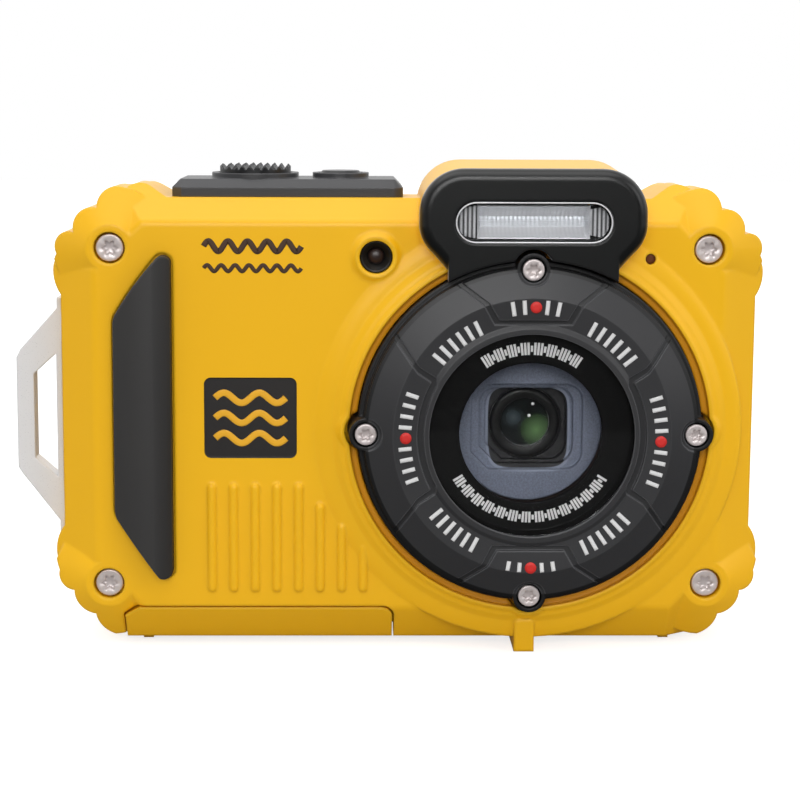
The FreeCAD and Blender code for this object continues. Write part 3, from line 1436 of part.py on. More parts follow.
def strap_lug():
    outline = [
        ("lug_plate_x", "lug_low"), ("lug_plate_x", "lug_top"), ("lug_x_in", "lug_top"),
        ("lug_x_in", "lug_top - 1.6"), ("lug_x_out + 0.6", "lug_slope_top"),
        ("lug_x_out", "lug_slope_top - 1.2"), ("lug_x_out", "lug_slope_low + 0.6"),
        ("lug_x_out + 0.6", "lug_slope_low - 0.4"), ("lug_x_in", "lug_low + 2"),
        ("lug_x_in", "lug_low"),
    ]
    hole = [
        ("lug_x_in - 0.2", "lug_slope_low - 1"), ("lug_x_in - 0.2", "lug_slope_top - 0.6"),
        ("lug_hole_x", "lug_slope_top - 3.7"), ("lug_hole_x", "lug_slope_low + 2"),
    ]
    body = new_body()
    pad(body, "XZ", outline[::-1], "lug_y", "lug_y + lug_thick")
    pocket(body, "XZ", hole[::-1], "lug_y - 1", "lug_y + lug_thick + 1")
    tongues, holes, pins = [], [], []
    for z in ("tongue_top - tongue_tall", "tongue_low"):
        tongues.append(block("lug_plate_x - 0.1", "lug_plate_x + tongue_deep", "lug_y",
                             "lug_y + lug_thick", z, z + " + tongue_tall"))
        at = ("lug_plate_x + tongue_deep - 1.4", "lug_y - 0.8", z + " + tongue_tall / 2")
        holes.append(bar("Y", at[0], "lug_y - 1", at[2], "lug_pin_round + 0.05", "6"))
        pins.append(bar("Y", at[0], at[1], at[2], "lug_pin_round", "lug_thick + 1.4"))
    finish("strap_lug", cut(fuse(body, *tongues), *holes))
    finish("lug_pins", group(*pins))


# Battery door


def battery_door():
    leaf = door_pocket("0")
    knuckle = bar("X", "door_left", "hinge_y", "hinge_z", "knuckle_round", "door_right - door_left")
    skid = block("-skid_x", "-skid_x + skid_wide", "skid_front", "skid_back", "-foot_drop", "0.6")
    recess = block("latch_x - 0.2", "latch_x + latch_long + latch_travel + 0.2",
                   "latch_y - latch_wide / 2 - 0.2", "latch_y + latch_wide / 2 + 0.2",
                   "-1", "latch_deep + 0.1")
    channel = block("latch_x + latch_long", "door_right + 1", BOLT[0] + " - 0.2",
                    BOLT[1] + " + 0.2", "-1", "1.0")
    pin_hole = bar("X", "door_left - 1", "hinge_y", "hinge_z", "pin_round + rod_gap",
                   "door_right - door_left + 2")
    finish("battery_door", cut(fuse(leaf, knuckle, skid), recess, channel, pin_hole))
    pin = bar("X", "door_left - pin_reach + 0.1", "hinge_y", "hinge_z", "pin_round",
              "door_right - door_left + 2 * pin_reach - 0.2")
    finish("hinge_pin", pin)

    gap = "fit_gap + 0.1"
    outer = block("mouth_left + %s" % gap, "mouth_right - (%s)" % gap, "mouth_front + %s" % gap,
                  "mouth_back - (%s)" % gap, "door_thick", "door_thick + gasket_tall")
    inner = block("mouth_left + gasket_wide + %s" % gap, "mouth_right - gasket_wide - (%s)" % gap,
                  "mouth_front + gasket_wide + %s" % gap, "mouth_back - gasket_wide - (%s)" % gap,
                  "door_thick - 1", "door_thick + gasket_tall + 1")
    finish("door_gasket", cut(outer, inner))

    low = "latch_y - latch_wide / 2"
    high = "latch_y + latch_wide / 2"
    plate = block("latch_x", "latch_x + latch_long", low, high, "0.05", "latch_deep + 0.05")
    bolt = block("latch_x + latch_long - 0.1", "door_right - 0.1", BOLT[0], BOLT[1],
                 BOLT[2], BOLT[3])
    slot = block("latch_x + 1", "latch_x + 1 + lock_long + 0.4", low + " + 0.6", high + " - 0.6",
                 "-1", "latch_deep + 1")
    finish("door_latch", cut(fuse(plate, bolt), slot))
    lock = block("latch_x + 1.2", "latch_x + 1.2 + lock_long", low + " + 0.8",
                 high + " - 0.8 - lock_travel", "-0.15", "latch_deep")
    finish("door_lock", lock)


def bay():
    """A tray with slots for the battery, the card and the port, open below."""
    left, right = "mouth_left - bay_wall", "mouth_right + bay_wall"
    front, back = "mouth_front - bay_wall + 0.2", "mouth_back + bay_wall - 0.2"
    tray = block(left, right, front, back, "floor_wall", "bay_top")
    cell_x, cell_y = "mouth_left + 0.6", "mouth_front + 0.2"
    card_y = "cell_front + battery_deep".replace("cell_front", cell_y) + " + 1.1"
    port_x = "%s + card_wide + 1.4" % cell_x
    slots = []
    solids = []
    for name, x, y, wide, deep, tall in (
            ("battery", cell_x, cell_y, "battery_wide", "battery_deep", "battery_tall"),
            ("memory_card", cell_x, card_y, "card_wide", "card_deep", "card_tall"),
            ("usb_port", port_x, card_y, "port_wide", "port_deep", "port_tall")):
        slots.append(block("%s - cell_gap" % x, "%s + %s + cell_gap" % (x, wide),
                           "%s - cell_gap" % y, "%s + %s + cell_gap" % (y, deep),
                           "floor_wall - 1", "floor_wall + bay_lift + %s" % tall))
        solids.append((name, block(x, "%s + %s" % (x, wide), y, "%s + %s" % (y, deep),
                                   "floor_wall + bay_lift", "floor_wall + bay_lift + %s" % tall)))
    finish("battery_bay", cut(tray, *slots))
    for name, solid in solids:
        if name == "usb_port":
            solid = cut(solid, block(port_x + " + 0.5", "%s + port_wide - 0.5" % port_x,
                                     card_y + " + 0.5", "%s + port_deep - 0.5" % card_y,
                                     "floor_wall - 1", "floor_wall + bay_lift + 4"))
        finish(name, solid)


def tripod_socket():
    body = fuse(bar("Z", "0", "0", "0", "socket_flange", "1"),
                bar("Z", "0", "0", "0", "socket_round", "socket_tall"))
    finish("tripod_socket", cut(body, bar("Z", "0", "0", "-1", "socket_bore", "socket_deep + 1")),
           "tripod_x", "tripod_y", "0")


# Display and electronics


def display():
    back = "rear_y - rear_wall"
    pane = slab("XZ", rounded("display_x - display_half", "display_x + display_half",
                              "display_z - display_half_z", "display_z + display_half_z",
                              "display_round"),
                "rear_y - display_thick - 0.1", "rear_y - 0.1")
    finish("display_window", pane)
    panel = block("display_x - panel_half", "display_x + panel_half", back + " - panel_thick",
                  back, "display_z - panel_half_z", "display_z + panel_half_z")
    finish("display_panel", panel)
    board = slab("XZ", octagon("main_left", "main_right", "main_low", "main_top", "8"),
                 "main_y", "main_y + main_thick")
    dome_top = back + " - key_flange - key_stem - dome_gap"
    domes = [hexagon(steps[1], "main_y + main_thick - 0.1", steps[2], "dome_round",
                     dome_top + " - main_y - main_thick + 0.1")
             for _, steps in KEYS]
    finish("main_board", fuse(board, *domes))
    speaker = bar("Y", "pad_x", back + " - speaker_thick", "speaker_z", "speaker_round",
                  "speaker_thick")
    finish("speaker", speaker)


make_front_shell()
rear_shell()
shell_gasket()
screws()
grip_pad()
lens_ring()
window()
baffle()
front_lens()
folded_lens()
flash()
small_front_pieces()
top_controls()
strap_lug()
battery_door()
bay()
tripod_socket()
display()
rear_keys()

doc.recompute()
faults = [thing.Label for thing in doc.Objects if "Invalid" in thing.State or "Error" in thing.State]
for name, thing in NODES.items():
    shape = thing.Shape
    if shape.isNull() or not shape.isValid() or not shape.Solids:
        faults.append(name)
if faults:
    raise RuntimeError("These pieces failed: " + ", ".join(faults))

os.makedirs("parts", exist_ok=True)
for name, thing in NODES.items():
    thing.Shape.exportStep("parts/%s.step" % name)
    box = thing.Shape.BoundBox
    print(name, len(thing.Shape.Solids), "solids", round(thing.Shape.Volume, 1),
          [round(value, 2) for value in (box.XMin, box.XMax, box.YMin, box.YMax, box.ZMin, box.ZMax)])
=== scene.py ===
# %% [markdown]
# # A compact waterproof camera, dressed for its portrait
#
# The construction is already there: shells, ring, buttons, door and the zoom lens inside are
# loaded as a fixed frame. This lesson gives each of them its finish, adds what is too fine or too
# decorative for the construction, such as the printed ticks and the lobes in the screw heads, and
# then sets up a small studio. Places and sizes of pieces are in millimetres until a mesh is made;
# only the lengths inside a shader are in metres.

# %% Load the frame
import math
import bpy
import numpy as np
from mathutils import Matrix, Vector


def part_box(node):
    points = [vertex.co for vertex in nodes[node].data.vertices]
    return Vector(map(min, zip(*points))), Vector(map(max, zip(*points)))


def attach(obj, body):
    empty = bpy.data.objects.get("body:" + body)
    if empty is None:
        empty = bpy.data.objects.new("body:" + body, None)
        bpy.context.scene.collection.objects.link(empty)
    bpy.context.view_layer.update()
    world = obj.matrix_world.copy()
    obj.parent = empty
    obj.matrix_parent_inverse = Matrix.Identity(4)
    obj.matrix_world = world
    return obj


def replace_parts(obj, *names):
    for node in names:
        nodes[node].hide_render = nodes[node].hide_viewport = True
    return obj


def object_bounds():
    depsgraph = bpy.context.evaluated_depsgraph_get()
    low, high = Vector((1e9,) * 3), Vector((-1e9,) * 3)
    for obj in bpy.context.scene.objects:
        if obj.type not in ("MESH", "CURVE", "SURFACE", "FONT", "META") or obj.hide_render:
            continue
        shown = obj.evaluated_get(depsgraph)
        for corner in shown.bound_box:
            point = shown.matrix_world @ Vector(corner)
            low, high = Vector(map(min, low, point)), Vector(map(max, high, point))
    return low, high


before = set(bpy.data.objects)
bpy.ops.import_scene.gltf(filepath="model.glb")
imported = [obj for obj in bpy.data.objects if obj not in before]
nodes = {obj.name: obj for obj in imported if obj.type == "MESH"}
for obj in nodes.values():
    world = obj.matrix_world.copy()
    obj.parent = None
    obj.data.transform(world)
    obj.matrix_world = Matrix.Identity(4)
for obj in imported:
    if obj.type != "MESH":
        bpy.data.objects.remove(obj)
MM = 0.001
cad_low, cad_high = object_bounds()
print("construction box, mm:", [round(v / MM, 1) for v in (*cad_low, *cad_high)])

# %% [markdown]
# ## Reading places from the frame
#
# A printed tick has to sit on the ring, wherever the ring is. So centres and faces are read from
# the box of the node that carries a piece. Only the print on the front shell's face has numbers of
# its own, because no node's box tells where that flat face lies.

# %% Boxes in millimetres


def box_of(node):
    """Lowest corner, highest corner and middle of a node, in millimetres."""
    low, high = (np.array(corner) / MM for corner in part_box(node))
    return low, high, (low + high) / 2


ring_low, _, ring_mid = box_of("lens_ring")
print("ring centre", ring_mid.round(2), "ring front", ring_low[1].round(2))

# %% [markdown]
# ## Helpers for node trees
#
# A shader is a tree of nodes whose sockets are either set or linked. One helper decides which of
# the two it is, and every other helper uses it, so that a recipe reads like a formula.

# %% Small helpers


def feed(tree, node, sockets):
    """Give a node's sockets their values; a value that is itself a socket is linked."""
    for socket, value in sockets.items():
        if isinstance(value, bpy.types.NodeSocket):
            tree.links.new(value, node.inputs[socket])
        else:
            node.inputs[socket].default_value = value


def add(tree, kind, inputs=None, **settings):
    """A node with its settings, and its sockets fed from a dict called inputs."""
    node = tree.nodes.new(kind)
    for name, value in settings.items():
        setattr(node, name, value)
    feed(tree, node, inputs or {})
    return node


def maths(tree, operation, *operands, clamp=False):
    """A Math node; each operand is a number or a socket."""
    node = add(tree, "ShaderNodeMath", dict(enumerate(operands)), operation=operation,
               use_clamp=clamp)
    return node.outputs[0]


def blend_colours(tree, amount, first, second):
    """A colour mix: the first where the amount is 0, the second where it is 1."""
    node = add(tree, "ShaderNodeMix", {0: amount, 6: first, 7: second}, data_type="RGBA")
    return node.outputs[2]


def noise(tree, where, scale, detail):
    """Fine noise on a vector; scale is in turns to the metre."""
    node = add(tree, "ShaderNodeTexNoise", {"Vector": where, "Scale": scale, "Detail": detail,
                                            "Roughness": 0.5})
    return node.outputs["Fac"]


def new_group(name, inputs, outputs):
    """An empty shader group with its sockets, and the nodes that stand at its two ends."""
    tree = bpy.data.node_groups.new(name, "ShaderNodeTree")
    for label, kind, value in inputs:
        socket = tree.interface.new_socket(label, in_out="INPUT", socket_type="NodeSocket" + kind)
        socket.default_value = value
    for label, kind in outputs:
        tree.interface.new_socket(label, in_out="OUTPUT", socket_type="NodeSocket" + kind)
    return tree, add(tree, "NodeGroupInput").outputs, add(tree, "NodeGroupOutput")


print("Blender", bpy.app.version_string)

# %% [markdown]
# ## Node groups
#
# Moulded plastic is never quite even. Its edges are softly rounded and catch a little more light,
# which is a painted highlight here: a paler edge colour laid on through an edge mask. It carries a
# very fine grain from the tool, and large faces drift a little in tone. Most finishes on this
# camera share those effects, so they are groups with named sockets, built once and given other
# values in each finish.

# %% Group: soft edges


def soft_edges_group():
    """Rounds the shading across an edge, and gives a mask that is 1 on the edge itself.

    The mask is one minus the cosine between the rounded and the true normal, made steeper."""
    tree, given, end = new_group("soft_edges", [("Radius", "Float", 0.0004)],
                                 [("Normal", "Vector"), ("Edge", "Float")])
    rounded = add(tree, "ShaderNodeBevel", {"Radius": given["Radius"]}, samples=6).outputs[0]
    surface = add(tree, "ShaderNodeNewGeometry")
    cosine = add(tree, "ShaderNodeVectorMath", {0: rounded, 1: surface.outputs["Normal"]},
                 operation="DOT_PRODUCT")
    turned = maths(tree, "SUBTRACT", 1.0, cosine.outputs["Value"])
    feed(tree, end, {"Edge": maths(tree, "MULTIPLY", turned, 6.0, clamp=True), "Normal": rounded})
    return tree


SOFT_EDGES = soft_edges_group()
print(SOFT_EDGES.name, "has", len(SOFT_EDGES.nodes), "nodes")

# %% [markdown]
# The finish puts the soft edges on two tones and a grain. A picture of plastic could do that too,
# but it would need a layout on every shell. Noise needs none, and it has the same size everywhere.

# %% Group: moulded finish


def moulded_group():
    """Two tones that drift slowly, a painted highlight on the edges, and a fine grain in roughness
    and height.
    """
    tree, given, end = new_group(
        "moulded_finish",
        [("Colour", "Color", (0.8, 0.8, 0.8, 1)), ("Drift Colour", "Color", (0.7, 0.7, 0.7, 1)),
         ("Drift Size", "Float", 60.0), ("Highlight Colour", "Color", (1, 1, 1, 1)),
         ("Edge Amount", "Float", 0.2), ("Edge Radius", "Float", 0.0004),
         ("Grain Size", "Float", 5000.0), ("Grain Depth", "Float", 0.3),
         ("Roughness", "Float", 0.3), ("Roughness Spread", "Float", 0.1)],
        [("Colour", "Color"), ("Roughness", "Float"), ("Normal", "Vector")])
    where = add(tree, "ShaderNodeTexCoord").outputs["Object"]
    drift = noise(tree, where, given["Drift Size"], 3.0)
    grain = noise(tree, where, given["Grain Size"], 2.0)
    edges = add(tree, "ShaderNodeGroup", node_tree=SOFT_EDGES)
    feed(tree, edges, {"Radius": given["Edge Radius"]})
    toned = blend_colours(tree, drift, given["Colour"], given["Drift Colour"])
    # Painted highlight: the edge mask lays the highlight colour on the edges.
    edge = maths(tree, "MULTIPLY", edges.outputs["Edge"], given["Edge Amount"])
    centred = maths(tree, "SUBTRACT", grain, 0.5)
    spread = maths(tree, "MULTIPLY", centred, given["Roughness Spread"])
    bump = add(tree, "ShaderNodeBump", {"Distance": 0.00004, "Strength": given["Grain Depth"],
                                        "Height": grain, "Normal": edges.outputs["Normal"]})
    feed(tree, end, {"Colour": blend_colours(tree, edge, toned, given["Highlight Colour"]),
                     "Roughness": maths(tree, "ADD", given["Roughness"], spread, clamp=True),
                     "Normal": bump.outputs[0]})
    return tree


MOULDED = moulded_group()
print(MOULDED.name, "has", len(MOULDED.nodes), "nodes")

# %% [markdown]
# ## Rings of another tone
#
# The gap round the lens ring gets painted shade, the ring's outer border gets painted shade too,
# and the lens gets painted reflections and glints as soft spots. Each could be a material of its
# own on faces cut for it, but all of them lie between two distances from an axis. So a group gives
# that distance, and a material stays in one piece.

# %% Group: distance from an axis


def axis_group():
    """How far a point lies from an axis along Y: the p-th root of |x|^p + |z|^p, which is round
    for p = 2 and nears a square with round corners as p grows."""
    tree, given, end = new_group("from_axis", [("Centre", "Vector", (0, 0, 0)),
                                               ("Power", "Float", 2.0)], [("Distance", "Float")])
    where = add(tree, "ShaderNodeTexCoord").outputs["Object"]
    offset = add(tree, "ShaderNodeVectorMath", {0: where, 1: given["Centre"]},
                 operation="SUBTRACT")
    parts = add(tree, "ShaderNodeSeparateXYZ", {0: offset.outputs["Vector"]})
    power = given["Power"]
    raised = [maths(tree, "POWER", maths(tree, "ABSOLUTE", parts.outputs[axis]), power)
              for axis in ("X", "Z")]
    root = maths(tree, "POWER", maths(tree, "ADD", *raised), maths(tree, "DIVIDE", 1.0, power))
    feed(tree, end, {"Distance": root})
    return tree


FROM_AXIS = axis_group()
print("groups:", [group.name for group in bpy.data.node_groups])

# %% [markdown]
# ## Colours
#
# Colours are easiest to judge as the screen shows them, so they are written as screen values
# from 0 to 255 and turned into the linear light that shaders work in.

# %% From screen values to a finish


def screen(red, green, blue):
    """Screen values to linear light: the upper branch of the sRGB curve, and its toe."""
    values = np.array([red, green, blue]) / 255
    linear = np.where(values > 0.04045, ((values + 0.055) / 1.055) ** 2.4, values / 12.92)
    return (*linear.tolist(), 1.0)


def new_material(name):
    """An empty material, its tree, its Principled shader and its output."""
    made = bpy.data.materials.new(name)
    made.use_nodes = True
    made.node_tree.nodes.clear()
    output = add(made.node_tree, "ShaderNodeOutputMaterial")
    shader = add(made.node_tree, "ShaderNodeBsdfPrincipled")
    made.node_tree.links.new(shader.outputs[0], output.inputs[0])
    return made, made.node_tree, shader, output


def moulded(name, colour, drift, edge=None, on_shader=None, **values):
    """A moulded finish. Its three colours are screen values: the colour, the colour it drifts to,
    and the painted highlight on its edges. Values are named as the group's sockets with _ for a
    space, and on_shader holds what the group leaves to the shader."""
    made, tree, shader, _ = new_material(name)
    finish = add(tree, "ShaderNodeGroup", node_tree=MOULDED)
    feed(tree, finish, {"Colour": screen(*colour), "Drift Colour": screen(*drift),
                        "Highlight Colour": screen(*(edge or colour))})
    feed(tree, finish, {key.replace("_", " ").title(): value for key, value in values.items()})
    feed(tree, shader, {"Base Color": finish.outputs["Colour"],
                        "Roughness": finish.outputs["Roughness"],
                        "Normal": finish.outputs["Normal"], **(on_shader or {})})
    return made


print("middle grey in linear light:", round(screen(128, 128, 128)[0], 3))

# %% [markdown]
# A finish may need a second colour in places. The colour that feeds its shader is then mixed with
# another, as far as a mask says, and the mask is a ramp up and a ramp down over the distance.

# %% Another colour on a finish


def mix_in(made, amount, colour):
    """Lay another colour over a material's own, as far as a socket from 0 to 1 says."""
    tree = made.node_tree
    shader = next(node for node in tree.nodes if node.type == "BSDF_PRINCIPLED")
    below = shader.inputs["Base Color"].links[0].from_socket
    feed(tree, shader, {"Base Color": blend_colours(tree, amount, below, screen(*colour))})


def ramp(tree, value, start, end, low=0.0, high=1.0):
    """A Map Range node: low up to the start, high from the end on, straight between them."""
    node = add(tree, "ShaderNodeMapRange", {"Value": value, "From Min": start, "From Max": end,
                                            "To Min": low, "To Max": high})
    return node.outputs[0]


TO_THE_AXIS, SOFT = -1.0, 0.05


def tint(made, centre, inner, outer, colour, soft=SOFT, power=2.0):
    """Another colour between two distances from an axis along Y, all in millimetres. With an
    inner distance below 0 it reaches the axis itself."""
    tree = made.node_tree
    away = add(tree, "ShaderNodeGroup", node_tree=FROM_AXIS)
    feed(tree, away, {"Centre": [value * MM for value in centre], "Power": power})
    distance = away.outputs["Distance"]
    rise = ramp(tree, distance, (inner - soft) * MM, inner * MM)
    fall = ramp(tree, distance, outer * MM, (outer + soft) * MM, 1.0, 0.0)
    mix_in(made, maths(tree, "MULTIPLY", rise, fall), colour)


print("a tint fades over", SOFT, "mm unless told otherwise")

# %% [markdown]
# ## Plastics and rubbers
#
# The shells are moulded in a warm yellow with a satin gloss. Their edges turn paler through the
# group's edge mask, which is a painted highlight. The front shell also gets painted shade in the
# gap round the ring and on its bore behind the window, so it has a finish of its own.

# %% The yellow shells


def yellow_plastic(name):
    """The shells' warm yellow with a satin gloss."""
    return moulded(name, (243, 186, 20), (239, 179, 17), (253, 214, 66),
                   {"Specular IOR Level": 0.35}, edge_amount=0.25, edge_radius=0.0007,
                   grain_size=9000.0, grain_depth=0.10, roughness=0.34, roughness_spread=0.12,
                   drift_size=25.0)


YELLOW = yellow_plastic("yellow_shell")
YELLOW_FRONT_GAP_SHADE = yellow_plastic("yellow_front_gap_shade")
MOAT_IN, MOAT_OUT = 25.3, 26.45
# Painted shade: the gap's floor round the ring is painted a darker orange, and the shell inside it,
# down to its bore behind the window, a dark brown.
tint(YELLOW_FRONT_GAP_SHADE, ring_mid, MOAT_IN, MOAT_OUT, (222, 150, 18))
tint(YELLOW_FRONT_GAP_SHADE, ring_mid, TO_THE_AXIS, MOAT_IN - SOFT, (48, 28, 12))
print("gap round the ring:", round(MOAT_OUT - MOAT_IN, 2), "wide")

# %% [markdown]
# The dark pieces could share one black, but then bezel, ring and plate would melt together in the
# picture. They differ by gloss and by a few steps of grey: a glossy black bezel, dark buttons on a
# black plate that gets a paler grey as a painted reflection, a satin lens ring with painted shade
# on its outer border, and a grip that feels like rubber.

# %% Blacks and greys
BLACK_GLOSS = moulded("black_bezel", (14, 15, 15), (11, 12, 12), (56, 58, 62),
                      {"Sheen Weight": 0.3, "Sheen Roughness": 0.3}, edge_amount=0.2,
                      edge_radius=0.0004, grain_size=9000.0, grain_depth=0.10, roughness=0.30,
                      roughness_spread=0.10)
BLACK_SATIN = moulded("black_controls", (24, 24, 26), (19, 19, 21), (104, 105, 108),
                      edge_amount=0.35, edge_radius=0.0003, grain_size=8000.0, grain_depth=0.2,
                      roughness=0.34)
# The black control plate is painted grey as a painted reflection of the whitish light on its
# chamfer.
PLATE_PAINTED_REFLECTION = moulded("control_plate_painted_reflection", (60, 60, 62), (54, 54, 56), (120, 121, 124),
                     edge_amount=0.3, edge_radius=0.0003, grain_size=8000.0, grain_depth=0.2,
                     roughness=0.36)
RING_GREY = moulded("ring_grey", (50, 50, 52), (44, 44, 46), (132, 133, 136), edge_amount=0.4,
                    edge_radius=0.0003, grain_size=7000.0, grain_depth=0.3, roughness=0.42,
                    roughness_spread=0.2)
BORDER_SHADE_FROM, PAST_THE_RING = 23.75, 40.0
# Painted shade: past this radius the ring's outer border and flank are painted near black.
tint(RING_GREY, ring_mid, BORDER_SHADE_FROM, PAST_THE_RING, (18, 18, 19))
GRIP = moulded("grip_pad", (53, 52, 51), (47, 46, 46), (112, 111, 110), edge_amount=0.4,
               edge_radius=0.0005, grain_size=9000.0, grain_depth=0.4, roughness=0.5,
               roughness_spread=0.2)
DARK = moulded("dark_inner", (30, 30, 32), (24, 24, 26), (60, 60, 62), grain_size=6000.0,
               grain_depth=0.4, roughness=0.6)
SEAL = moulded("seal_rubber", (22, 22, 22), (17, 17, 17), (40, 40, 40), grain_size=5000.0,
               grain_depth=0.5, roughness=0.75)
KEY_GREY = moulded("key_grey", (58, 58, 60), (50, 50, 52), (110, 110, 112), edge_amount=0.4,
                   edge_radius=0.0003, roughness=0.42, grain_depth=0.3)
MASK = moulded("mask_black", (4, 4, 4), (3, 3, 3), (8, 8, 8), {"Specular IOR Level": 0.1},
               grain_depth=0.05, roughness=0.5)
DARKS = (BLACK_GLOSS, BLACK_SATIN, PLATE_PAINTED_REFLECTION, RING_GREY, GRIP, DARK, SEAL, KEY_GREY, MASK)
print("dark finishes:", [made.name for made in DARKS])

# %% [markdown]
# The grip pad's right part turns away from the light, and painted shade makes it grow darker
# towards its right edge. Round an axis that stands a metre away, the rim of a disc is almost a
# straight line, so the same tint makes that painted shade too.

# %% Painted shade on the grip
_, grip_high, grip_mid = box_of("grip_pad")
FAR_AWAY = 1000
tint(GRIP, (grip_high[0] + FAR_AWAY, 0, grip_mid[2]), TO_THE_AXIS, FAR_AWAY + 0.2, (36, 35, 35),
     soft=3.0)
print("grip's right edge at", grip_high[0].round(2))

# %% [markdown]
# A few pieces have a colour that tells what they are: orange for what locks or records, green for
# a board. Most of them lie inside, but the door opens and the window is clear.

# %% Other colours
ORANGE = moulded("orange_accent", (214, 84, 32), (202, 74, 26), (240, 130, 80),
                 edge_amount=0.3, roughness=0.4)
BOARD = moulded("board_green", (24, 84, 52), (18, 70, 42), (60, 120, 80), grain_size=1500.0,
                grain_depth=0.4, roughness=0.45)
BATTERY = moulded("battery_wrap", (74, 76, 82), (64, 66, 72), (110, 112, 118), roughness=0.4,
                  grain_depth=0.2)
CARD = moulded("card_blue", (34, 62, 118), (28, 52, 104), (80, 104, 150), roughness=0.45,
               grain_depth=0.3)
print("other colours:", [made.name for made in (ORANGE, BOARD, BATTERY, CARD)])

# %% [markdown]
# ## Metals
#
# Polished steel would mirror the dark room, and the screws and the lug are not polished. They are
# blasted to a pale satin, which lies between a metal and a paint, so their shaders are only
# partly metallic.

# %% Steel and bright sheet


def metal(name, colour, drift, roughness, grain_depth, edge_radius=0.0002, metallic=1.0):
    """A metal is a moulded finish whose shader is metallic; a satin one is partly so."""
    # The near-white third colour is a painted highlight on the metal's edges.
    return moulded(name, colour, drift, (245, 245, 245), {"Metallic": metallic},
                   edge_amount=0.3, edge_radius=edge_radius, grain_size=6000.0,
                   grain_depth=grain_depth, roughness=roughness, roughness_spread=0.15)


SCREW_STEEL = metal("screw_steel", (222, 213, 211), (208, 198, 196), 0.33, 0.06, metallic=0.3)
LUG_STEEL = metal("lug_steel", (240, 240, 241), (234, 234, 235), 0.3, 0.06, edge_radius=0.0004,
                  metallic=0.15)
MOTOR_STEEL = metal("motor_steel", (170, 170, 172), (150, 150, 152), 0.35, 0.3)
REFLECTOR = metal("reflector_metal", (236, 236, 238), (226, 226, 228), 0.3, 0.1, metallic=0.4)
print("metals:", [made.name for made in (SCREW_STEEL, LUG_STEEL, MOTOR_STEEL, REFLECTOR)])

# %% [markdown]
# ## Glasses
#
# Light that falls through a pane would need many bounces to reach what lies behind. So a shadow
# ray passes straight through, while the eye still sees a glass that bends and mirrors.

# %% Clear glass


def choose(tree, amount, first, second):
    """A shader mix: the first where the amount is 0, the second where it is 1."""
    return add(tree, "ShaderNodeMixShader", {0: amount, 1: first, 2: second}).outputs[0]


GLASS_IOR, FLASH_IOR = 1.5, 1.45


def clear(name, colour, roughness, ior=GLASS_IOR):
    """Glass that light from the lamps can pass: a shadow ray sees it as plain transparent."""
    made, tree, shader, output = new_material(name)
    feed(tree, shader, {"Base Color": screen(*colour), "Roughness": roughness, "IOR": ior,
                        "Transmission Weight": 1.0})
    shadow = add(tree, "ShaderNodeLightPath").outputs["Is Shadow Ray"]
    passing = add(tree, "ShaderNodeBsdfTransparent").outputs[0]
    feed(tree, output, {0: choose(tree, shadow, shader.outputs[0], passing)})
    return made


WINDOW = clear("window_clear", (255, 255, 255), 0.0)
FLASH_CLEAR = clear("flash_clear", (246, 247, 248), 0.02, ior=FLASH_IOR)
TUBE_GLASS = clear("tube_glass", (240, 242, 244), 0.05)
print("refraction:", GLASS_IOR, "for glass,", FLASH_IOR, "for the flash window")

# %% [markdown]
# The front lens and the display are never looked through here, so they need no clear glass. They
# are dark and coated. The lens gets a green and a grey painted reflection and two painted glints,
# all soft discs.

# %% Coated glass


def coated(name, colour, drift, edge, coat_roughness, roughness):
    """A dark smooth body under a clear coat."""
    return moulded(name, colour, drift, edge, {"Coat Weight": 1.0, "Coat Roughness": coat_roughness},
                   grain_depth=0.0, roughness=roughness)


LENS = coated("lens_coated", (12, 20, 16), (8, 12, 11), (40, 70, 50), 0.02, 0.08)
DISPLAY = coated("display_black", (14, 15, 17), (12, 12, 14), (50, 50, 54), 0.03, 0.1)
lens_mid = box_of("front_element")[2]
LENS_PAINTED_REFLECTIONS = coated("lens_painted_reflections", (14, 19, 20), (10, 14, 15), (60, 70, 66), 0.02, 0.1)
# Painted reflections on the lens: green low at the right, grey at the left, and two small white
# painted glints.
for place, size, colour, soft in (((1.9, 0, -1.3), 0.0, (98, 132, 84), 2.8),
                                  ((-1.6, 0, 0.6), 0.0, (66, 76, 80), 1.8),
                                  ((1.3, 0, 2.7), 0.16, (255, 255, 255), 0.12),
                                  ((0.75, 0, 0.9), 0.17, (255, 255, 255), 0.12)):
    tint(LENS_PAINTED_REFLECTIONS, lens_mid + place, TO_THE_AXIS, size, colour, soft=soft)
print("lens centre", lens_mid.round(2))

# %% [markdown]
# The baffle in the window is speckled blue-grey and has a black opening with round corners. A
# high power of the axis group gives that shape, with a pale edge round it.

# %% Baffle
BAFFLE = moulded("baffle_speckled", (132, 140, 160), (74, 80, 96), (140, 147, 164),
                 grain_size=9000.0, grain_depth=1.0, roughness=0.5, drift_size=3600.0,
                 edge_amount=0.4)
OPENING, OPENING_EDGE, SQUARENESS = 5.9, 6.25, 5.0
opening_mid = lens_mid + (0.4, 0, -0.5)
tint(BAFFLE, opening_mid, OPENING, OPENING_EDGE, (134, 142, 160), power=SQUARENESS)
tint(BAFFLE, opening_mid, TO_THE_AXIS, OPENING, (20, 21, 24), power=SQUARENESS)
print("baffle opening:", 2 * OPENING, "across")

# %% [markdown]
# ## Dressing the construction
#
# Each node keeps its shape and gets one of these finishes. The list is kept by finish, so it
# reads like a maker's parts list.

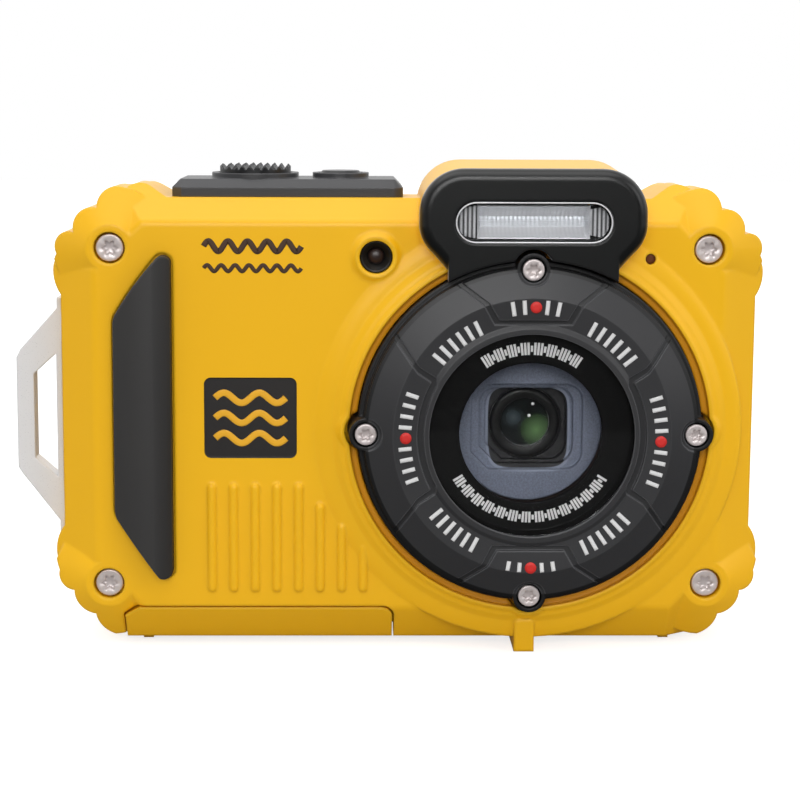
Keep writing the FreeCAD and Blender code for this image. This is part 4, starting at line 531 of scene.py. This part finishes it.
# %% Finish for each node
FINISHES = {
    YELLOW: ["rear_shell", "battery_door"],
    YELLOW_FRONT_GAP_SHADE: ["front_shell"],
    BLACK_GLOSS: ["flash_bezel", "lens_bezel"],
    PLATE_PAINTED_REFLECTION: ["control_plate"],
    BLACK_SATIN: ["shutter_button", "power_button"],
    RING_GREY: ["lens_ring"],
    GRIP: ["grip_pad"],
    DARK: ["timer_lamp", "lens_housing", "zoom_group", "focus_group", "battery_bay",
           "microphone", "speaker", "door_latch", "flash_capacitor"],
    SEAL: ["shell_gasket", "door_gasket"],
    ORANGE: ["record_key", "door_lock"],
    KEY_GREY: ["tele_key", "wide_key", "playback_key", "up_key", "down_key", "left_key",
               "right_key", "set_key", "menu_key", "delete_key"],
    BOARD: ["main_board", "top_switches"],
    BATTERY: ["battery"],
    CARD: ["memory_card"],
    SCREW_STEEL: ["corner_screws", "lens_ring_screws", "lug_pins", "hinge_pin",
                  "tripod_socket"],
    LUG_STEEL: ["strap_lug"],
    MOTOR_STEEL: ["guide_rods", "zoom_motor", "lead_screw", "usb_port", "image_sensor"],
    REFLECTOR: ["flash_reflector"],
    WINDOW: ["window_glass"],
    FLASH_CLEAR: ["flash_window"],
    TUBE_GLASS: ["flash_tube"],
    LENS_PAINTED_REFLECTIONS: ["front_element"],
    LENS: ["prism"],
    DISPLAY: ["display_window", "display_panel"],
    MASK: ["window_mask", "window_seal"],
    BAFFLE: ["lens_baffle"],
}

for finish, names in FINISHES.items():
    for name in names:
        mesh = nodes[name].data
        mesh.materials.clear()
        mesh.materials.append(finish)
undressed = sorted(set(nodes) - {name for names in FINISHES.values() for name in names})
print("nodes without a finish:", undressed)

# %% [markdown]
# ## Making meshes from formulas
#
# Pieces that the construction leaves out or keeps plain are made from formulas: whole arrays of
# points are computed at once and handed to Blender. A sheet is a grid of points with its
# neighbours joined, and it may close on itself.

# %% From arrays to pieces


def new_object(name, points, faces, material, smooth):
    """A mesh from points in millimetres and faces of any length, placed in the scene."""
    mesh = bpy.data.meshes.new(name)
    mesh.from_pydata((np.asarray(points).reshape(-1, 3) * MM).tolist(), [],
                     [[int(corner) for corner in face] for face in faces])
    mesh.materials.append(material)
    mesh.polygons.foreach_set("use_smooth", np.full(len(mesh.polygons), smooth))
    mesh.update()
    thing = bpy.data.objects.new(name, mesh)
    bpy.context.scene.collection.objects.link(thing)
    return thing


def make_piece(name, points, faces, material, smooth=False, body="camera"):
    """A piece of the object: it rides on a body of the frame."""
    thing = new_object(name, points, faces, material, smooth)
    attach(thing, body)
    return thing


def grid_faces(rows, columns, around=True):
    """Quads between neighbours of a grid; the columns close on themselves when around."""
    across = np.arange(columns if around else columns - 1)
    here = np.arange(rows - 1)[:, None] * columns + across
    beside = here - across + (across + 1) % columns
    return np.stack([here, beside, beside + columns, here + columns], -1).reshape(-1, 4)


print("a closed strip of four quads:", grid_faces(2, 4).tolist())

# %% [markdown]
# Dots, screws, lamp and pane are round, as if turned on a lathe. Blender's Screw modifier could
# spin a profile; a formula does the same at once, and it can also make the radius wavy.

# %% Turned pieces
COARSE, MEDIUM, FINE = 48, 72, 128


def turned_piece(name, profile, centre, material, segments, lobes=None):
    """A solid of revolution about Y. The profile lists (radius, y) from the front's middle round
    to the back's middle, and both ends close in a pole. Lobes widens each radius six times
    round: the radius is multiplied by 1 + lobes cos(6 angle)."""
    profile = np.asarray(profile, float)
    angle = np.linspace(0, 2 * math.pi, segments, endpoint=False)
    radius = np.repeat(profile[:, :1], segments, 1)
    if lobes is not None:
        radius = radius * (1 + lobes[:, None] * np.cos(6 * angle)[None, :])
    points = np.stack([centre[0] + radius * np.cos(angle), np.repeat(profile[:, 1:], segments, 1),
                       centre[2] + radius * np.sin(angle)], -1)
    poles = [[centre[0], profile[row, 1], centre[2]] for row in (0, -1)]
    around = np.arange(segments)
    nearby = (around + 1) % segments
    last = (len(profile) - 1) * segments
    count = last + segments
    front = np.stack([np.full(segments, count), nearby, around], 1)
    back = np.stack([np.full(segments, count + 1), last + around, last + nearby], 1)
    return make_piece(name, np.vstack([points.reshape(-1, 3), poles]),
                      [*grid_faces(len(profile), segments), *front, *back], material, smooth=True)


print("degrees in a step:", [round(360 / segments, 2) for segments in (COARSE, MEDIUM, FINE)])

# %% [markdown]
# ## Marks on the ring
#
# The ring carries printed ticks and four red dots. A print is a layer of ink, so every mark is a
# very thin plate that follows the ring's front. The front is a shallow cone, and on the four tabs
# it stands one step further out, so a mark's height is worked out from its distance to the centre.

# %% Shape of the ring's front
CREST_RADIUS, MARK_RADIUS = 20.1, 16.3
RING_STEP, RING_FALL = 0.3, 0.3
INK, SUNK = 0.03, 0.1
MARKS_MID = ring_mid + (0.15, 0, -0.25)


def ring_front(x, z, on_tab):
    """Y of the ring's front at a place: it falls away from the crest towards the window."""
    radius = np.hypot(x - ring_mid[0], z - ring_mid[2])
    fall = (CREST_RADIUS - radius) / (CREST_RADIUS - MARK_RADIUS) * RING_FALL
    return ring_low[1] + fall + (0.0 if on_tab else RING_STEP)


def bars_to_mesh(name, corners, material):
    """Closed boxes from groups of eight corners, front four first."""
    sides = np.array([[0, 1, 2, 3], [7, 6, 5, 4], [0, 4, 5, 1], [1, 5, 6, 2], [2, 6, 7, 3],
                      [3, 7, 4, 0]])
    start = np.arange(len(corners))[:, None, None] * 8
    return make_piece(name, corners, (sides[None] + start).reshape(-1, 4), material)


def radial_bars(angles, inner, outer, width, centre, sheets):
    """Eight corners for each bar that points away from a centre, with angles in degrees from +X.
    The two sheets say how deep the bar's front and back lie at a corner."""
    angles, inner, outer = np.broadcast_arrays(np.radians(angles), inner, outer)
    along = np.stack([np.cos(angles), np.zeros_like(angles), np.sin(angles)], -1)
    aside = np.stack([-np.sin(angles), np.zeros_like(angles), np.cos(angles)], -1) * width / 2
    corners = []
    for sheet in sheets:
        for radius, side in ((inner, -1), (outer, -1), (outer, 1), (inner, 1)):
            corner = along * radius[:, None] + aside * side + centre
            corner[:, 1] = sheet(corner)
            corners.append(corner)
    return np.stack(corners, 1)


# %% [markdown]
# Ticks could be stamped from a picture, yet their ends would blur close up. As bars of ink they
# stay crisp: four on a narrow tab, eight on a broad one, six on each stretch between two tabs. A
# red dot stands at each tab's middle. TABS gives a tab's direction in degrees, the steps of its
# ticks, their two radii and the dot's.

# %% Ticks and dots
INK_WHITE = moulded("ink_white", (226, 226, 226), (214, 214, 214), roughness=0.5,
                    grain_depth=0.2)
INK_RED = moulded("ink_red", (214, 40, 34), (204, 34, 30), roughness=0.45, grain_depth=0.2)
TICK_WIDE, TAB_PITCH, SET_PITCH = 0.6, 4.9, 4.6
DOT_RADIUS, DOT_INK, DOT_DEEP = 0.83, 0.07, 0.3


def ticks(angles, inner, outer, on_tab):
    """Bars of ink between two radii: one layer stands proud of the ring, the rest is sunk."""
    sheets = [lambda corner, lift=lift: ring_front(corner[:, 0], corner[:, 2], on_tab) + lift
              for lift in (-INK, SUNK)]
    return radial_bars(angles, inner, outer, TICK_WIDE, MARKS_MID, sheets)


narrow = np.array([-2, -1, 1, 2]) * TAB_PITCH
broad = np.array([-4, -3, -2, -1, 1, 2, 3, 4]) * TAB_PITCH
between = (np.arange(6) - 2.5) * SET_PITCH
TABS = {"top": (89.6, narrow, 18.0, 20.1, 19.05), "low": (269.6, narrow, 18.4, 19.8, 19.1),
        "left": (180, broad, 17.6, 19.5, 18.4), "right": (-1.35, broad, 17.6, 19.5, 18.45)}
sets = [ticks(turn + steps, inner, outer, True) for turn, steps, inner, outer, _ in TABS.values()]
sets += [ticks(turn + between, 16.7, 19.0, False) for turn in (50.8, 128.4, 230.4, 306.8)]
bars_to_mesh("ring_ticks", np.concatenate(sets), INK_WHITE)
for side, (turn, _, _, _, away) in TABS.items():
    spot = MARKS_MID + (away * math.cos(math.radians(turn)), 0, away * math.sin(math.radians(turn)))
    y = float(ring_front(spot[0], spot[2], True))
    half = DOT_RADIUS * 0.5
    disc = [(half, y - DOT_INK), (DOT_RADIUS, y - DOT_INK), (DOT_RADIUS, y + DOT_DEEP),
            (half, y + DOT_DEEP)]
    turned_piece("dot_" + side, disc, spot, INK_RED, COARSE)
print("ticks:", sum(len(corners) for corners in sets))

# %% [markdown]
# ## Print round the window
#
# Behind the glass the black mask carries a fine ring of print. Here it is two arcs of small
# dashes, which keeps the rhythm of such a print without words.

# %% Dashes on the mask
mask_front = box_of("window_mask")[0][1]
DASH_WIDE, DASH_IN, SHORTER, GLUE = 0.34, 11.6, 0.45, 0.005


def mask_dashes(first, last, count, outer):
    """Short radial bars at even steps, in front of the mask; every fourth one is shorter."""
    short = np.where(np.arange(count) % 4 == 3, SHORTER, 0.0)
    sheets = [lambda corner, lift=lift: mask_front - lift for lift in (INK, GLUE)]
    return radial_bars(np.linspace(first, last, count), DASH_IN + short, outer - short,
                       DASH_WIDE, ring_mid, sheets)


dashes = np.concatenate([mask_dashes(57, 123, 31, 13.4), mask_dashes(212, 328, 53, 13.2)])
bars_to_mesh("window_dashes", dashes, INK_WHITE)
print("dashes:", len(dashes))

# %% [markdown]
# ## Screw heads with six lobes
#
# All eight screws have a recess with six rounded lobes. A head is a turned shape whose inner
# rings are widened and narrowed six times round, so the recess and the head are one closed skin.
# The two upper corner screws stand a little nearer to each other than the lower two.

# %% Screws


def screw_profile(front, head, deep, lobe, shank, end):
    """(radius, y) from the recess's floor out over the rim and back to the shank's tip, and how
    strongly each of these rings is lobed."""
    floor = front + 0.55 * deep
    rim = 0.22
    turn = np.linspace(0, math.pi / 2, 6)
    rounded = [(head - rim + rim * math.sin(t), front + rim - rim * math.cos(t)) for t in turn]
    inside = [(lobe * 0.3, floor + 0.05), (lobe * 0.55, floor), (lobe * 0.95, floor - 0.03),
              (lobe, floor - 0.1), (lobe, front + 0.06), (lobe * 1.07, front)]
    outside = [(head, front + deep), (shank, front + deep), (shank, end)]
    lobes = np.array([0.0, 0.10, 0.2, 0.2, 0.2, 0.17] + [0.0] * (len(rounded) + len(outside)))
    return inside + rounded + outside, lobes


def screw_set(node, head, **sizes):
    """For the screws of a node: its middle, how far their axes stand from it, and their shape."""
    low, high, middle = box_of(node)
    return middle, (high - low) / 2 - head, *screw_profile(low[1], head, end=high[1], **sizes)


UPPER_IN = 0.7
middle, reach, profile, lobes = screw_set("corner_screws", 2.0, deep=1.5, lobe=0.98, shank=0.95)
for number, (sx, sz) in enumerate(((-1, 1), (1, 1), (-1, -1), (1, -1))):
    where = middle + (sx * (reach[0] - (UPPER_IN if sz > 0 else 0.0)), 0, sz * reach[2])
    made = turned_piece("corner_screw_%d" % number, profile, where, SCREW_STEEL, MEDIUM, lobes)
    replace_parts(made, "corner_screws")
middle, reach, profile, lobes = screw_set("lens_ring_screws", 1.575, deep=1.4, lobe=0.78,
                                          shank=0.8)
for number, (sx, sz) in enumerate(((0, 1), (1, 0), (0, -1), (-1, 0))):
    where = middle + (sx * reach[2], 0, sz * reach[2])
    made = turned_piece("ring_screw_%d" % number, profile, where, SCREW_STEEL, MEDIUM, lobes)
    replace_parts(made, "lens_ring_screws")
print("opposite ring screws stand", round(float(2 * reach[2]), 2), "apart")

# %% [markdown]
# ## A patch and a line of waves
#
# The front carries a dark square and a short dark line of print. Both get a plain wave pattern:
# the square holds three yellow waves, and the line is a row of dark waves with a thin one below.

# %% Printed waves
FACE_Y = -17.0
UNDER = 0.05
INK_DARK = moulded("ink_dark", (38, 34, 33), (32, 29, 28), roughness=0.45, grain_depth=0.3)
INK_YELLOW = moulded("ink_yellow", (238, 178, 34), (232, 168, 30), roughness=0.4,
                     grain_depth=0.2)
INK_BROWN = moulded("ink_brown", (72, 44, 20), (64, 40, 20), roughness=0.5, grain_depth=0.2)


def wave_print(name, span, height, swing, wide, turns, layer, material):
    """A ribbon that follows height + swing times the sine of its way across, as a closed plate:
    the front sheet lies one layer before the face, the back one just behind it."""
    left, right = span
    steps = 24 * turns + 1
    x = np.linspace(left, right, steps)
    phase = (x - left) / (right - left) * 2 * math.pi * turns
    slope = swing * np.cos(phase) * 2 * math.pi * turns / (right - left)
    length = np.sqrt(1 + slope ** 2)
    side = np.stack([-slope / length, 0 * x, 1 / length], -1) * wide / 2
    middle = np.stack([x, np.full_like(x, FACE_Y), height + swing * np.sin(phase)], -1)
    front, back = np.array([0, -layer, 0]), np.array([0, UNDER, 0])
    loop = np.stack([middle - side + front, middle + side + front, middle + side + back,
                     middle - side + back], 1)
    ends = [[3, 2, 1, 0], [(steps - 1) * 4 + corner for corner in range(4)]]
    return make_piece(name, loop, [*grid_faces(steps, 4), *ends], material)


def patch_print(name, low, high, corner, layer, material):
    """A plate with round corners: one arc per corner, joined into a fan."""
    (left, floor), (right, top) = low, high
    turn = np.linspace(0, math.pi / 2, 9)
    arcs = []
    for x, z, start in ((right - corner, top - corner, 0), (left + corner, top - corner, 1),
                        (left + corner, floor + corner, 2), (right - corner, floor + corner, 3)):
        angle = turn + start * math.pi / 2
        arcs.append(np.stack([x + corner * np.cos(angle), z + corner * np.sin(angle)], -1))
    rim = np.concatenate(arcs)
    sheets = [np.insert(rim, 1, FACE_Y + lift, 1) for lift in (-layer, UNDER)]
    count = len(rim)
    lids = [range(count), range(2 * count - 1, count - 1, -1)]
    return make_piece(name, np.concatenate(sheets), [*grid_faces(2, count), *lids], material)


PATCH_LOW, PATCH_HIGH = (-33.6, 28.1), (-20.0, 40.1)
MARGIN, WAVE_PITCH = 1.6, 3.0
patch_print("wave_patch", PATCH_LOW, PATCH_HIGH, 1.0, INK, INK_DARK)
for number in range(3):
    wave_print("patch_wave_%d" % number, (PATCH_LOW[0] + MARGIN, PATCH_HIGH[0] - MARGIN),
               PATCH_LOW[1] + WAVE_PITCH * (number + 1), swing=0.75, wide=1.0, turns=2,
               layer=2 * INK, material=INK_YELLOW)
LINE = (-33.5, -19.3)
wave_print("line_wave", LINE, 59.4, swing=0.75, wide=0.85, turns=5, layer=INK,
           material=INK_BROWN)
wave_print("line_wave_low", LINE, 56.2, swing=0.45, wide=0.6, turns=7, layer=INK,
           material=INK_BROWN)
print("patch from", PATCH_LOW, "to", PATCH_HIGH)

# %% [markdown]
# ## Window pane
#
# The glass is set a hair in front of the printed mask, as a pane on a bed of glue is. Its front
# edge has a small round. Narrow rings close to both edges keep the flat faces flat to the light.

# %% Pane
glass_low, glass_high, glass_mid = box_of("window_glass")
PANE_SET, PANE_EDGE, PANE_HUB = 0.06, 0.2, 5.0
turn = np.linspace(0, math.pi / 2, 5)
pane_round = glass_high[0] - glass_mid[0]
pane_front, pane_back = glass_low[1], glass_high[1] - PANE_SET
edge = [(pane_round - PANE_EDGE + PANE_EDGE * math.sin(t),
         pane_front + PANE_EDGE - PANE_EDGE * math.cos(t)) for t in turn]
pane = [(PANE_HUB, pane_front), (pane_round - 0.3, pane_front)] + edge
pane += [(pane_round, pane_back), (pane_round - 0.05, pane_back), (PANE_HUB, pane_back)]
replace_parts(turned_piece("window_pane", pane, glass_mid, WINDOW, FINE), "window_glass")
print("pane", round(float(2 * pane_round), 2), "across")

# %% [markdown]
# ## Timer lamp and microphone
#
# The self-timer lamp is a small lens at the bottom of a black tube. The microphone hides behind
# a hole in the face, and a disc of brown felt closes it.

# %% Lamp and felt
lamp_low, lamp_high, lamp_mid = box_of("timer_lamp")
lamp_round, lamp_deep = lamp_mid[0] - lamp_low[0], lamp_high[1] - lamp_low[1]
tube = [(0.9, 1.6), (1.25, 1.5), (1.3, 0.9), (1.7, 0.85), (lamp_round - 0.35, 0.12),
        (lamp_round - 0.12, 0.0), (lamp_round, 0.12), (lamp_round, lamp_deep), (1.0, lamp_deep)]
tube = [(radius, lamp_low[1] + depth) for radius, depth in tube]
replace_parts(turned_piece("timer_tube", tube, lamp_mid, BLACK_GLOSS, MEDIUM), "timer_lamp")
turn = np.linspace(0, math.pi / 2, 8)
dome = [(1.2 * math.sin(t) + 0.02, lamp_low[1] + 1.5 - 0.7 * math.cos(t)) for t in turn]
dome += [(1.2, lamp_low[1] + 1.6)]
LAMP_LENS = moulded("lamp_lens", (52, 34, 28), (38, 26, 22), (110, 84, 70),
                    {"Coat Weight": 0.4, "Coat Roughness": 0.2}, grain_depth=0.0, roughness=0.4)
turned_piece("timer_lens", dome, lamp_mid, LAMP_LENS, COARSE)
FELT = moulded("brown_felt", (104, 54, 16), (88, 44, 12), roughness=0.8, grain_size=7000.0,
               grain_depth=0.6)
felt = [(0.3, FACE_Y + 0.12), (0.72, FACE_Y + 0.12), (0.72, FACE_Y + 0.4), (0.3, FACE_Y + 0.4)]
turned_piece("microphone_felt", felt, box_of("microphone")[2], FELT, COARSE)
print("lamp", round(float(2 * lamp_round), 2), "across")

# %% [markdown]
# ## Inside the flash window
#
# The trough behind the flash window is pressed from bright metal. It is ribbed across, so that
# the light spreads. The ribs could be a bump in the material, but then their edges would stay
# straight, so they are in the mesh.

# %% Ribbed reflector
trough_low, trough_high, trough_mid = box_of("flash_reflector")
RIB_PITCH, RIB_HIGH, TRIM = 0.62, 0.07, 0.05


def ribbed_reflector():
    """A sheet bent to a parabola in height, with a raised cosine of fine ribs along its length;
    its edges fold back so that it is closed to the rear."""
    across = np.linspace(trough_low[0] + TRIM, trough_high[0] - TRIM, 481)
    up = np.linspace(-1, 1, 33)
    depth = trough_high[1] - trough_low[1] - 0.5
    inner = depth * (1 - np.abs(up) ** 2.2)
    ribs = RIB_HIGH * (1 - np.cos((across - trough_low[0]) * 2 * math.pi / RIB_PITCH)) / 2
    end = np.clip((np.minimum(across - across[0], across[-1] - across) / 0.5), 0, 1)
    sheet = trough_low[1] + (inner[:, None] + 0.02) * end[None, :]
    sheet = sheet - (ribs * end)[None, :] * (1 - np.abs(up[:, None]) ** 4)
    half = (trough_high[2] - trough_low[2]) / 2 - TRIM
    grid = np.empty((len(up) + 2, len(across), 3))
    grid[:, :, 0] = across
    grid[1:-1, :, 1] = sheet
    grid[1:-1, :, 2] = (trough_mid[2] - up * half)[:, None]
    grid[0, :, 1] = grid[-1, :, 1] = trough_high[1] - TRIM
    grid[0, :, 2], grid[-1, :, 2] = trough_mid[2] + half, trough_mid[2] - half
    rows, columns = grid.shape[:2]
    count = rows * columns
    sides = [[columns - 1, count - 1, count - columns, 0], range(0, count, columns),
             range(columns - 1, count, columns)[::-1]]
    faces = grid_faces(rows, columns, around=False)[:, ::-1]
    return make_piece("ribbed_reflector", grid, [*faces, *sides], REFLECTOR, smooth=True)


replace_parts(ribbed_reflector(), "flash_reflector")
print("ribs:", int((trough_high[0] - trough_low[0]) / RIB_PITCH))

# %% [markdown]
# ## Rim, clips and linings of the flash
#
# What lines the flash is made of rings and plates. A ring could be cut out of a plate, but one
# outline drawn four times, near and far, outside and inside, gives it with clean faces.

# %% Rings and plates
pane_low, pane_high, pane_mid = box_of("flash_window")


def box_outline(low, high, inset=0.0):
    """The (x, z) corners of a rectangle, counter-clockwise for someone in front."""
    x0, x1, z0, z1 = low[0] + inset, high[0] - inset, low[2] + inset, high[2] - inset
    return np.array([(x0, z0), (x1, z0), (x1, z1), (x0, z1)])


def pill_outline(low, high, inset):
    """A bar with round ends: two half circles joined by straight runs."""
    turn = np.linspace(-math.pi / 2, math.pi / 2, 25)
    middle, half = (low + high) / 2, (high - low) / 2
    radius = half[2] - inset
    right = np.stack([half[0] - half[2] + radius * np.cos(turn), radius * np.sin(turn)], -1)
    return middle[[0, 2]] + np.concatenate([right, -right])


def ring_piece(name, outline, low, high, insets, depths, material):
    """A closed ring between two insets of an outline and between two depths."""
    loops = [np.insert(outline(low, high, insets[side]), 1, depths[level], 1)
             for side, level in ((0, 0), (1, 0), (1, 1), (0, 1))]
    count = len(loops[0])
    return make_piece(name, np.concatenate(loops), grid_faces(5, count) % (4 * count), material)


def slab(name, outline, near, far, material):
    """A closed plate between two depths, over an outline of four corners."""
    corners = np.array([[x, y, z] for y in (near, far) for x, z in outline])
    return bars_to_mesh(name, corners[None], material)


print("flash pane", pane_low.round(2), "to", pane_high.round(2))

# %% [markdown]
# A bright line runs round the flash window, where its edge is chamfered; it is a painted highlight,
# a thin ring of bright metal laid round the pane. Behind the pane a dark sleeve keeps the light in,
# a bright frame borders the trough, and two striped clips grip the tube's ends before dark
# backings. The stripes are a wave in the material, with the ribs' pitch.

# %% Flash details
CLIP_STEEL = metal("clip_steel", (226, 226, 228), (214, 214, 216), 0.3, 0.1, metallic=0.4)
tree = CLIP_STEEL.node_tree
where = add(tree, "ShaderNodeTexCoord").outputs["Object"]
WAVE_TURN = 2 * math.pi / 20
stripes = add(tree, "ShaderNodeTexWave", {"Vector": where, "Distortion": 0.0,
                                          "Scale": WAVE_TURN / (RIB_PITCH * MM)},
              wave_type="BANDS", bands_direction="X")
mix_in(CLIP_STEEL, stripes.outputs["Fac"], (60, 60, 62))

SHEET, CLIP_FLARE, CLIP_SHARE, BACKING = 0.06, 1.3, 0.62, 0.2
front, mouth = pane_low[1], trough_low[1]
# Painted highlight: a thin bright ring stands for the light on the window's chamfered edge.
ring_piece("pane_rim_painted_highlight", pill_outline, pane_low, pane_high, (0.05, 0.27),
           (front - 0.03, front + 0.12), REFLECTOR)
ring_piece("flash_liner", box_outline, pane_low + (0.35, 0, 0.2), pane_high - (0.35, 0, 0.2),
           (0, SHEET), (pane_high[1] + 1.02, trough_high[1] + 0.35), DARK)
tall = CLIP_SHARE * (pane_high[2] - pane_low[2]) / 2
for name, left, right in (("clip_left", pane_low[0] + 0.5, trough_low[0] - 0.02),
                          ("clip_right", trough_high[0] + 0.02, pane_high[0] - 0.5)):
    shape = ((left, -tall), (right, -CLIP_FLARE * tall), (right, CLIP_FLARE * tall), (left, tall))
    slab(name, [(x, pane_mid[2] + z) for x, z in shape], mouth + 0.15, mouth + 0.8, CLIP_STEEL)
ring_piece("trough_frame", box_outline, trough_low, trough_high, (0, SHEET),
           (mouth - 0.12, mouth + 0.1), REFLECTOR)
backing_low, backing_high = pane_low + BACKING, pane_high - BACKING
beside = (trough_low[0], 0, backing_high[2])
slab("backing_left", box_outline(backing_low, beside), mouth + 0.8, mouth + 1.0, DARK)
beside = (2 * pane_mid[0] - trough_low[0], 0, backing_low[2])
slab("backing_right", box_outline(beside, backing_high), mouth + 0.8, mouth + 1.0, DARK)
print("clips flare from", round(2 * tall, 2), "to", round(2 * CLIP_FLARE * tall, 2))

# %% [markdown]
# ## The studio
#
# A small product is usually shown on white with a large soft box overhead and a little to the
# front, and with darkness round the viewer, so that black plastic stays black. The floor is a
# pale sheet that ends short of the viewer, so that upright glossy faces mirror it in their lower
# half only and stay dark above.

# %% Floor
WHITE = (1, 1, 1, 1)


def floor_material():
    """White paper. The camera sees it glow more with distance, so that it runs into the white
    background while the shadow stays; in a mirror it is a dim grey."""
    made, tree, shader, output = new_material("paper_floor")
    feed(tree, shader, {"Base Color": (0.52, 0.52, 0.52, 1), "Roughness": 0.9,
                        "Specular IOR Level": 0.0})
    where = add(tree, "ShaderNodeTexCoord").outputs["Object"]
    distance = add(tree, "ShaderNodeVectorMath", {0: where}, operation="LENGTH")
    glow = ramp(tree, distance.outputs["Value"], 0.06, 0.5, 0.74, 1.0)
    path = add(tree, "ShaderNodeLightPath").outputs
    seen = maths(tree, "MAXIMUM", path["Is Camera Ray"], path["Is Transmission Ray"])
    glowing = add(tree, "ShaderNodeEmission", {"Color": WHITE,
                                               "Strength": maths(tree, "MULTIPLY", seen, glow)})
    total = add(tree, "ShaderNodeAddShader", {0: shader.outputs[0], 1: glowing.outputs[0]})
    dim = add(tree, "ShaderNodeEmission", {"Color": WHITE, "Strength": 0.07})
    mirrored = choose(tree, path["Is Glossy Ray"], total.outputs[0], dim.outputs[0])
    feed(tree, output, {0: mirrored})
    return made


floor_level = cad_low.z / MM - 0.02
FLOOR_FRONT, FLOOR_BACK, FLOOR_SIDE = -195, 1500, 1500
sheet = [(x, y, floor_level) for y in (FLOOR_FRONT, FLOOR_BACK) for x in (-FLOOR_SIDE, FLOOR_SIDE)]
floor = new_object("paper_floor", sheet, [(0, 1, 3, 2)], floor_material(), smooth=False)
print("floor at", round(floor_level, 2))

# %% [markdown]
# The room round the object is the world. The eye sees plain white. Everything else finds it
# dark in front, bright behind, and a little bright above and at both sides, which gives the
# bevels their light edges.

# %% World


def studio_world():
    """White for the camera. For reflections and light it is dark in front and bright behind."""
    world = bpy.data.worlds.new("studio")
    world.use_nodes = True
    tree = world.node_tree
    tree.nodes.clear()
    output = add(tree, "ShaderNodeOutputWorld")
    where = add(tree, "ShaderNodeTexCoord").outputs["Generated"]
    parts = add(tree, "ShaderNodeSeparateXYZ", {0: where}).outputs
    behind = ramp(tree, parts["Y"], -0.5, 0.9, 0.03, 1.0)
    above = ramp(tree, parts["Z"], 0.2, 0.9, 0.0, 0.35)
    sides = ramp(tree, maths(tree, "ABSOLUTE", parts["X"]), 0.5, 0.95, 0.0, 0.45)
    level = maths(tree, "ADD", maths(tree, "ADD", behind, above), sides)
    room, plain = (add(tree, "ShaderNodeBackground", {"Color": WHITE, "Strength": strength})
                   for strength in (level, 1.0))
    seen = add(tree, "ShaderNodeLightPath").outputs["Is Camera Ray"]
    feed(tree, output, {0: choose(tree, seen, room.outputs[0], plain.outputs[0])})
    return world


bpy.context.scene.world = studio_world()
print("world:", bpy.context.scene.world.name)

# %% [markdown]
# Four lamps stand in that room: a broad one overhead, a wide low one behind the camera's
# shoulder, a weak one at the right, and a tiny one whose mirror image is the glint on round faces.

# %% Lamps
subject = np.array((cad_low + cad_high) / 2) / MM


def soft_box(name, place, wide, tall, power):
    """A rectangular lamp that stands off from the object's middle and faces it, in millimetres."""
    data = bpy.data.lights.new(name, "AREA")
    data.shape = "RECTANGLE"
    data.size, data.size_y = wide * MM, tall * MM
    data.energy = power
    lamp = bpy.data.objects.new(name, data)
    bpy.context.scene.collection.objects.link(lamp)
    lamp.location = (subject + place) * MM
    aim = Vector((-np.array(place) * MM).tolist())
    lamp.rotation_euler = aim.to_track_quat("-Z", "Y").to_euler()
    return lamp


soft_box("top_box", (-60, -150, 620), wide=900, tall=500, power=2.2)
soft_box("front_box", (-60, -650, 250), wide=520, tall=260, power=2.1)
soft_box("right_box", (560, -420, 260), wide=300, tall=420, power=0.7)
soft_box("glint_lamp", (30, -430, 250), wide=24, tall=24, power=0.1)
print("lamps:", [light.name for light in bpy.data.lights])

# %% [markdown]
# ## The camera
#
# The photograph was taken from close by, a little above the object and left of its middle.
# Its picture plane stands almost parallel to the front, so the camera is only tilted a little and
# the picture is shifted for the rest, as a view camera does.

# %% Camera
VIEW_PLACE = np.array([-11.687, -260.844, 80.0])
VIEW_TILT, VIEW_YAW, VIEW_ROLL = 6.7798, 0.7377, -0.2354
view_data = bpy.data.cameras.new("portrait")
view_data.lens = 75.744
view_data.sensor_width = 36.0
view_data.shift_x, view_data.shift_y = 0.03, -0.12
view_data.clip_start = 0.01
view = bpy.data.objects.new("portrait", view_data)
bpy.context.scene.collection.objects.link(view)
view.location = VIEW_PLACE * MM
view.rotation_euler = [math.radians(turn) for turn in (90 - VIEW_TILT, VIEW_ROLL, -VIEW_YAW)]
bpy.context.scene.camera = view
bpy.context.scene.view_settings.view_transform = "Standard"
print("the camera stands", round(ring_low[1] - VIEW_PLACE[1]), "before the ring")
